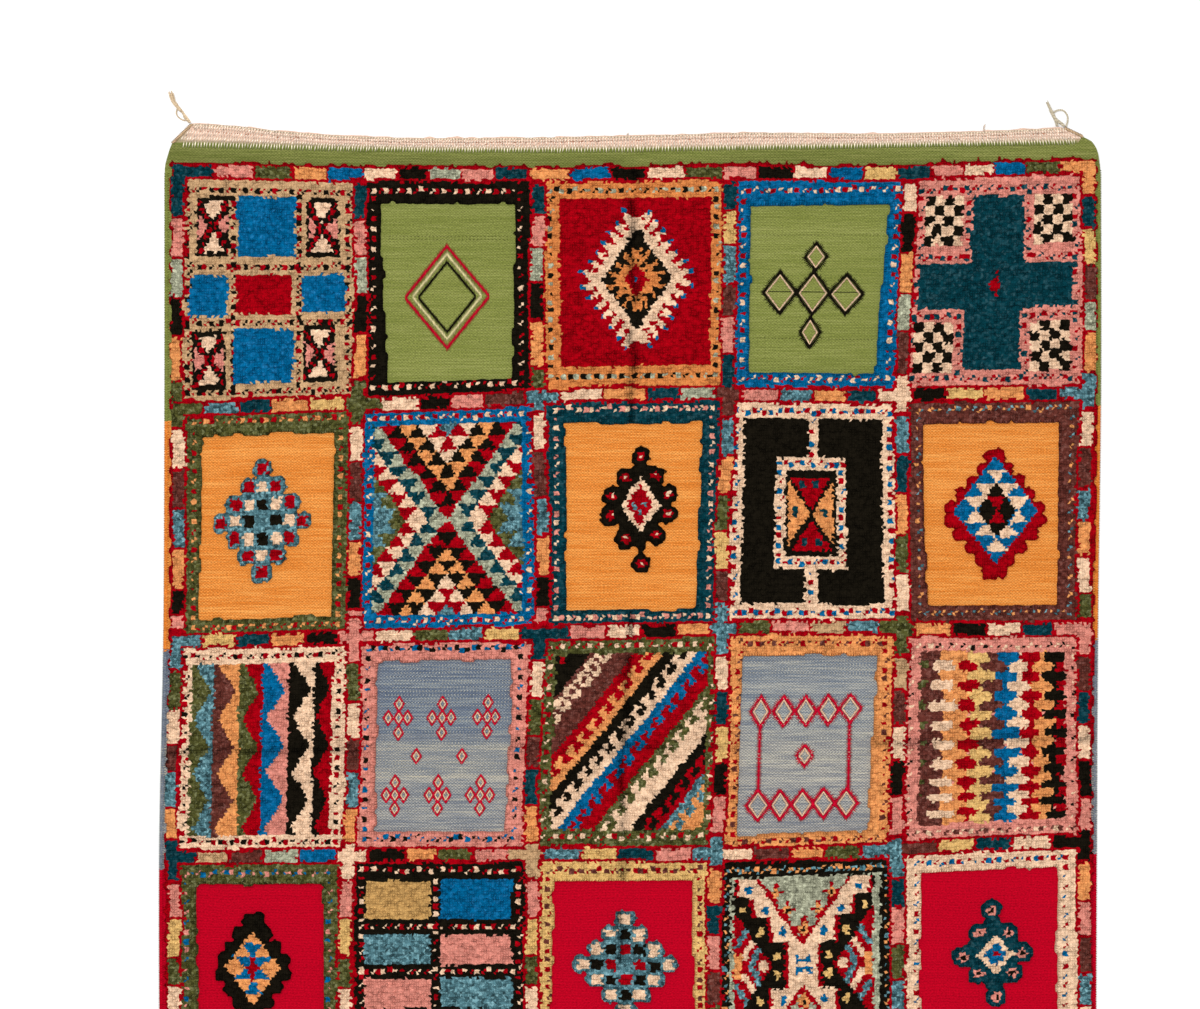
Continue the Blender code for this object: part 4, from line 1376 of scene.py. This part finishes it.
def make_heading(name, side, edge, seed, material):
    """A twined band: a flat body, rows of slanting stitches on it and a cord along its edge."""
    dice = np.random.default_rng(seed)
    needle = Needle()

    def lay(columns, away, angle, length, width, yarn, number, amount):
        needle.lay(columns, beyond_end(away, side), angle * side, length, width,
                   uneven(HEADING_YARNS[yarn], len(columns), number, amount))

    pitch, first_row, below_edge = 4.6, 5.8, 6
    for line in range(4):
        part = line / 3
        start = np.interp(part, (0, 0.12, 1), (10, -2, 28))
        stop = COLUMNS * COLUMN_PITCH + np.interp(part, (0, 0.5, 1), (-20, -13, -38))
        columns = np.arange(start, stop, pitch if line else 5.0) + pitch * (line % 2) / 2
        count = len(columns)
        columns = (columns + dice.normal(0, 0.35, count)) / COLUMN_PITCH
        spacing = (interpolate(edge, columns) - below_edge - HEADING_FOOT - first_row) / 3
        away = HEADING_FOOT + first_row + spacing * line
        lean = np.interp(columns, (0, 1, 2.5, 4.0, 4.6, 5), (0.52, 0.45, 0.12, 0.1, -0.35, -0.75))
        lean = lean * (1.0 if line else 0.35) + dice.normal(0, 0.08, count)
        tall = dice.uniform(0.9, 1.1, count) * (2 + 1.3 * spacing if line else 16)
        lay(columns, away + dice.normal(0, 0.6, count), math.pi / 2 - lean, tall,
            dice.uniform(2.4, 3.1, count), "stitch" if line else "first row", 50 + line, 0.09)
    for base, (x0, y0), (x1, column) in ((0, HEADING_ENDS[0], (24, 0.08)),
                                         (COLUMNS, HEADING_ENDS[1], (-42, 4.87))):
        y1 = interpolate(edge, column) - 1.5
        t = np.arange(0.5, round(math.hypot(x1 - x0, y1 - y0) / 3.0))
        t = t / len(t)
        lay(base + (x0 + (x1 - x0) * t) / COLUMN_PITCH, y0 + (y1 - y0) * t,
            math.atan2(y1 - y0, x1 - x0) - 0.9, 9.0, 4.2, "side cord", 58, 0.1)
    for column, reach in LOOSE_TUFTS if side > 0 else ():
        for turn, part in ((1.35, 0.0), (1.75, 0.45), (1.2, 0.8)):
            lay(np.array([column + part * 2 / COLUMN_PITCH]),
                interpolate(edge, [column]) - 5 + reach * part, turn, reach * 0.75, 2.6,
                "tuft", 59, 0.1)
    count = 170
    columns = np.sort(dice.uniform(0.12, 4.84, count))
    away = HEADING_FOOT + (interpolate(edge, columns) - HEADING_FOOT) * 0.66
    lay(columns, away + dice.normal(0, 1.0, count), dice.normal(0.2, 0.3, count), 5.0, 2.0,
        "shade", 57, 0.15)
    columns = np.arange(0.09, 4.86, 5.2 / COLUMN_PITCH)
    for below, slope, width, yarn, number in ((7.6, -0.25, 3.0, "inner cord", 60),
                                              (2.9, 0.25, 4.6, "outer cord", 61)):
        lay(columns, interpolate(edge, columns) - below, slope, 8.4, width, yarn, number, 0.08)
    return [heading_body(name, side, edge, material),
            needle.sew(name + "_stitches", 2.6, 2.0, 0, material)]


def make_selvedges(material):
    """The wrapped edges: short stitches across the cloth's sides, in the colour of each row."""
    needle = Needle()
    v = np.arange(0.02, ROWS - 0.01, 4.0 / ROW_PITCH)
    row = np.floor(np.minimum(v, ROWS - v) - COLOUR_CHANGE / ROW_PITCH)
    colours = linear(FIELD_COLOURS)[np.clip(row, 0, ROWS // 2).astype(int)]
    angles = np.random.default_rng(72).normal(0.12, 0.05, (2, len(v)))
    inset, length, width = 3.6, 10.5, 4.7
    for column, offset, angle in ((0, inset - LEFT_SELVEDGE, angles[0]),
                                  (COLUMNS, RIGHT_SELVEDGE - inset, angles[1])):
        tone = np.random.default_rng(70 + column).normal(0.9, 0.1, (len(v), 1))
        needle.lay(column + offset / COLUMN_PITCH, v, angle, length, width, colours * tone)
    return needle.sew("selvedge_wraps", 3.0, 2.0, 0.3, material)


def strand(points, radius, rise, seed):
    """A twisted strand along smoothed points: a tube whose surface swells into two plies that turn
    around it, closed at both ends by narrowing to a point. Returns points, triangles and the
    painted shade of each point: lighter where a ply swells, darker in the grooves between plies."""
    steps, around = (14, 10) if radius > 1.1 else (7, 6)
    rings = steps * (len(points) - 1) + 1
    at = np.linspace(0, len(points) - 1, rings)
    line = sum(points[pick] * weight[:, None] for pick, weight in spline_parts(at, len(points)))
    along = np.gradient(line, axis=0)
    along /= np.linalg.norm(along, axis=1, keepdims=True)
    across = np.stack((along[:, 1], -along[:, 0]), -1)
    travel = np.concatenate(([0], np.cumsum(np.linalg.norm(np.diff(line, axis=0), axis=1))))
    turn = np.linspace(0, 2 * math.pi, around, endpoint=False)[None, :]
    swell = np.abs(np.cos(turn - travel[:, None] * 1.3 / radius))
    close = np.sqrt(np.clip(1 - np.abs(np.linspace(-1, 1, rings)) ** 40, 0, 1))[:, None]
    wander = np.random.default_rng(seed).normal(0, 0.02, swell.shape)
    reach = radius * (0.74 + 0.26 * swell + wander) * close
    x = line[:, :1] + across[:, :1] * reach * np.cos(turn)
    y = line[:, 1:] + across[:, 1:] * reach * np.cos(turn)
    z = radius + rise + reach * np.sin(turn)
    number = np.arange(rings * around).reshape(rings, around)
    number[0], number[-1] = number[0, 0], number[-1, 0]
    after = np.roll(number, -1, axis=1)
    faces = np.concatenate((
        np.stack((number[:-1], number[1:], after[1:]), -1)[:-1].reshape(-1, 3),
        np.stack((number[:-1], after[1:], after[:-1]), -1)[1:].reshape(-1, 3),
    ))
    return np.stack((x, y, z), -1).reshape(-1, 3), faces, (0.6 + 0.45 * swell).ravel()


def frayed(path, radius, rise, dice):
    """The thin strands of a brush: a path, a radius and a rise for each."""
    spread = np.linspace(0.35, 1.0, len(path))[:, None]
    for _ in range(THIN_STRANDS):
        shift = dice.normal(0, 0.45, (1, 2)) * radius * spread
        thin = path + shift + dice.normal(0, 0.25, path.shape)
        thin[-1] += (path[-1] - path[-2]) * dice.uniform(-0.15, 0.1)
        yield thin, radius * dice.uniform(0.16, 0.26), rise + dice.uniform(0, 1.1) * radius


def make_tail(name, column, above_corner, colour, strands, material):
    """The loose warp at a corner: twisted strands, the thick ones frayed into a brush."""
    dice = np.random.default_rng(80 + column)
    right, above = above_corner
    root = np.array(place(column + right / COLUMN_PITCH, -above / ROW_PITCH))
    points, faces, lights, start = [], [], [], 0
    for index, (radius, path) in enumerate(strands):
        path, rise = np.array(path) + root, index * STRAND_RISE
        brush = radius > BRUSH_FROM
        thin = list(frayed(path, radius, rise, dice)) if brush else [(path, radius, rise)]
        for number, (line, size, height) in enumerate(thin):
            tube, triangles, light = strand(line, size, height, 90 + number)
            points.append(tube)
            faces.append(triangles + start)
            # The strand's painted shade, with each strand also a little lighter or darker at random and
            # a touch warmer
            lights.append(light[:, None] * dice.uniform(0.82, 1.12) * (1, 0.98, 0.95))
            start += len(tube)
    points, faces, lights = map(np.concatenate, (points, faces, lights))
    return new_piece(name, points, faces, np.full(len(faces), 3), material,
                     {"yarn": lights[faces.ravel()] * linear(colour)}, True)


def make_motifs(material):
    """The motifs of the four kinds of plain field, laid in with a second yarn."""
    needle = Needle()
    for y, wide, tall, letter, length in (
        (17, 74.5, 87.5, "F", 16), (16, 61, 73, "E", 14), (17, 51, 60, "K", 12),
    ):
        needle.diamond((0, 1), -2, y, wide, tall, letter, length, 2.4, 3.0, True)
    for x, y, wide, tall in GREEN_DIAMONDS:
        needle.diamond((0, 3), x, y, wide + 1.6, tall + 2, "K", 12, 2.7, 2.2, outward=0.8)
        needle.diamond((0, 3), x, y, wide, tall, "C", 5, 2.5, 1.9, outward=0.35)
    needle.line((0, 3), -91, 15, 79, 17, "K", 5, 1.9, 3.4, False)
    for x, y, up, down, left, right in CROSSES:
        small_diamonds(needle, (x, y), (x, y - up), (x, y + down), (x - left, y), (x + right, y))
        for y0, y1 in ((-up + 12, -12), (12, down - 12)):
            needle.line((2, 1), x, y + y0, x, y + y1, "F", 3.6, 2.2, 1.6)
    small_diamonds(needle, *SINGLES)
    for x, y, wide, tall in RED_DIAMONDS:
        needle.diamond((2, 3), x, y, wide + 1.4, tall + 1.8, "F", 13, 2.8, 2.2, outward=0.75)
        needle.diamond((2, 3), x, y, wide, tall, "C", 5.5, 2.6, 1.9, outward=0.3)
    for x in (-85, 69):
        needle.line((2, 3), x, -29, x, 89, "F", 12, 2.8, 2.3)
    for column, y in ((1, -88), (1, -83), (3, -84), (3, 96)):
        needle.line((0, column), -108, y, 108, y + 2, "G", 3.6, 1.1, 6.5, False)
    dice = np.random.default_rng(36)
    for column, left, right, top, bottom, share in DOTTED_FIELDS:
        for y in np.arange(top, bottom, 6.4):
            if dice.random() < share:
                start = left + dice.uniform(0, 25)
                needle.line((2, column), start, y, right, y + dice.normal(0, 1), "W", 3, 2.5, 5.4,
                            False)
    return needle.sew("laid_in_yarn", 1.7, WEAVE_TOP - 0.3, 1 / 3, material)


def small_diamonds(needle, *places):
    """Scarlet diamonds with cream ones in them, on the left grey field."""
    for x, y in places:
        needle.diamond((2, 1), x, y, 7.8, 12.5, "F", 6, 2.8, 1.8, outward=0.6)
        needle.diamond((2, 1), x, y, 4.8, 8, "C", 4.4, 2.8, 1.8)


def set_floor_and_lights():
    """A pale floor, two wide soft lights overhead and a bright surrounding."""
    bpy.ops.mesh.primitive_plane_add(size=40, location=(0, 0, -0.0005))
    floor = bpy.context.object
    floor.name = "floor"
    material = bpy.data.materials.new("pale floor")
    material.use_nodes = True
    shader = material.node_tree.nodes["Principled BSDF"]
    shader.inputs["Base Color"].default_value = (0.86, 0.86, 0.86, 1)
    shader.inputs["Roughness"].default_value = 0.8
    floor.data.materials.append(material)
    for name, at, size, power in (
        ("key light", (-1.6, 2.6, 4.2), 3.0, 150),
        ("fill light", (2.2, -1.2, 4.6), 3.5, 90),
    ):
        light = bpy.data.lights.new(name, "AREA")
        light.size = size
        light.energy = power
        lamp = bpy.data.objects.new(name, light)
        bpy.context.collection.objects.link(lamp)
        lamp.location = at
        lamp.rotation_euler = (math.acos(at[2] / math.hypot(*at)), 0,
                               math.atan2(-at[1], -at[0]) - math.pi / 2)
    world = bpy.data.worlds.new("studio")
    bpy.context.scene.world = world
    world.use_nodes = True
    background = world.node_tree.nodes["Background"].inputs
    background["Color"].default_value = (1, 1, 1, 1)
    background["Strength"].default_value = 0.75
    bpy.context.scene.view_settings.view_transform = "Standard"


def set_camera():
    """A camera straight above the part of the rug that the photo shows."""
    lens = bpy.data.cameras.new("camera")
    lens.lens = 85
    lens.sensor_width = 36
    camera = bpy.data.objects.new("camera", lens)
    bpy.context.collection.objects.link(camera)
    camera.location = CAMERA_PLACE
    bpy.context.scene.camera = camera


def main():
    """Makes every piece, hides the parts of model.glb that they replace, and sets up floor, lights and
    camera.
    """
    materials = make_materials()
    ground = make_ground(materials["weave"])
    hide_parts("rug")
    pile = make_pile(draw_chart(), materials["pile"])
    top = make_heading("upper_heading", 1, UPPER_HEADING_EDGE, 40, materials["heading"])
    bottom = make_heading("lower_heading", -1, LOWER_HEADING_EDGE, 47, materials["heading"])
    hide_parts("heading_top")
    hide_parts("heading_bottom")
    tails = []
    for node, *parts in TAILS:
        piece = make_tail(node + "_strands", *parts, materials["warp"])
        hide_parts(node)
        tails.append(piece)
    wool = [ground, *pile, make_selvedges(materials["stitch"]), make_motifs(materials["stitch"])]
    slots = ((wool, "knotted_wool"), (top + bottom, "twined_heading"), (tails, "loose_warp"))
    for pieces, slot in slots:
        for piece in pieces:
            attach(piece, "root")
    others = wool[1:] + top + bottom + tails
    set_floor_and_lights()
    set_camera()


main()
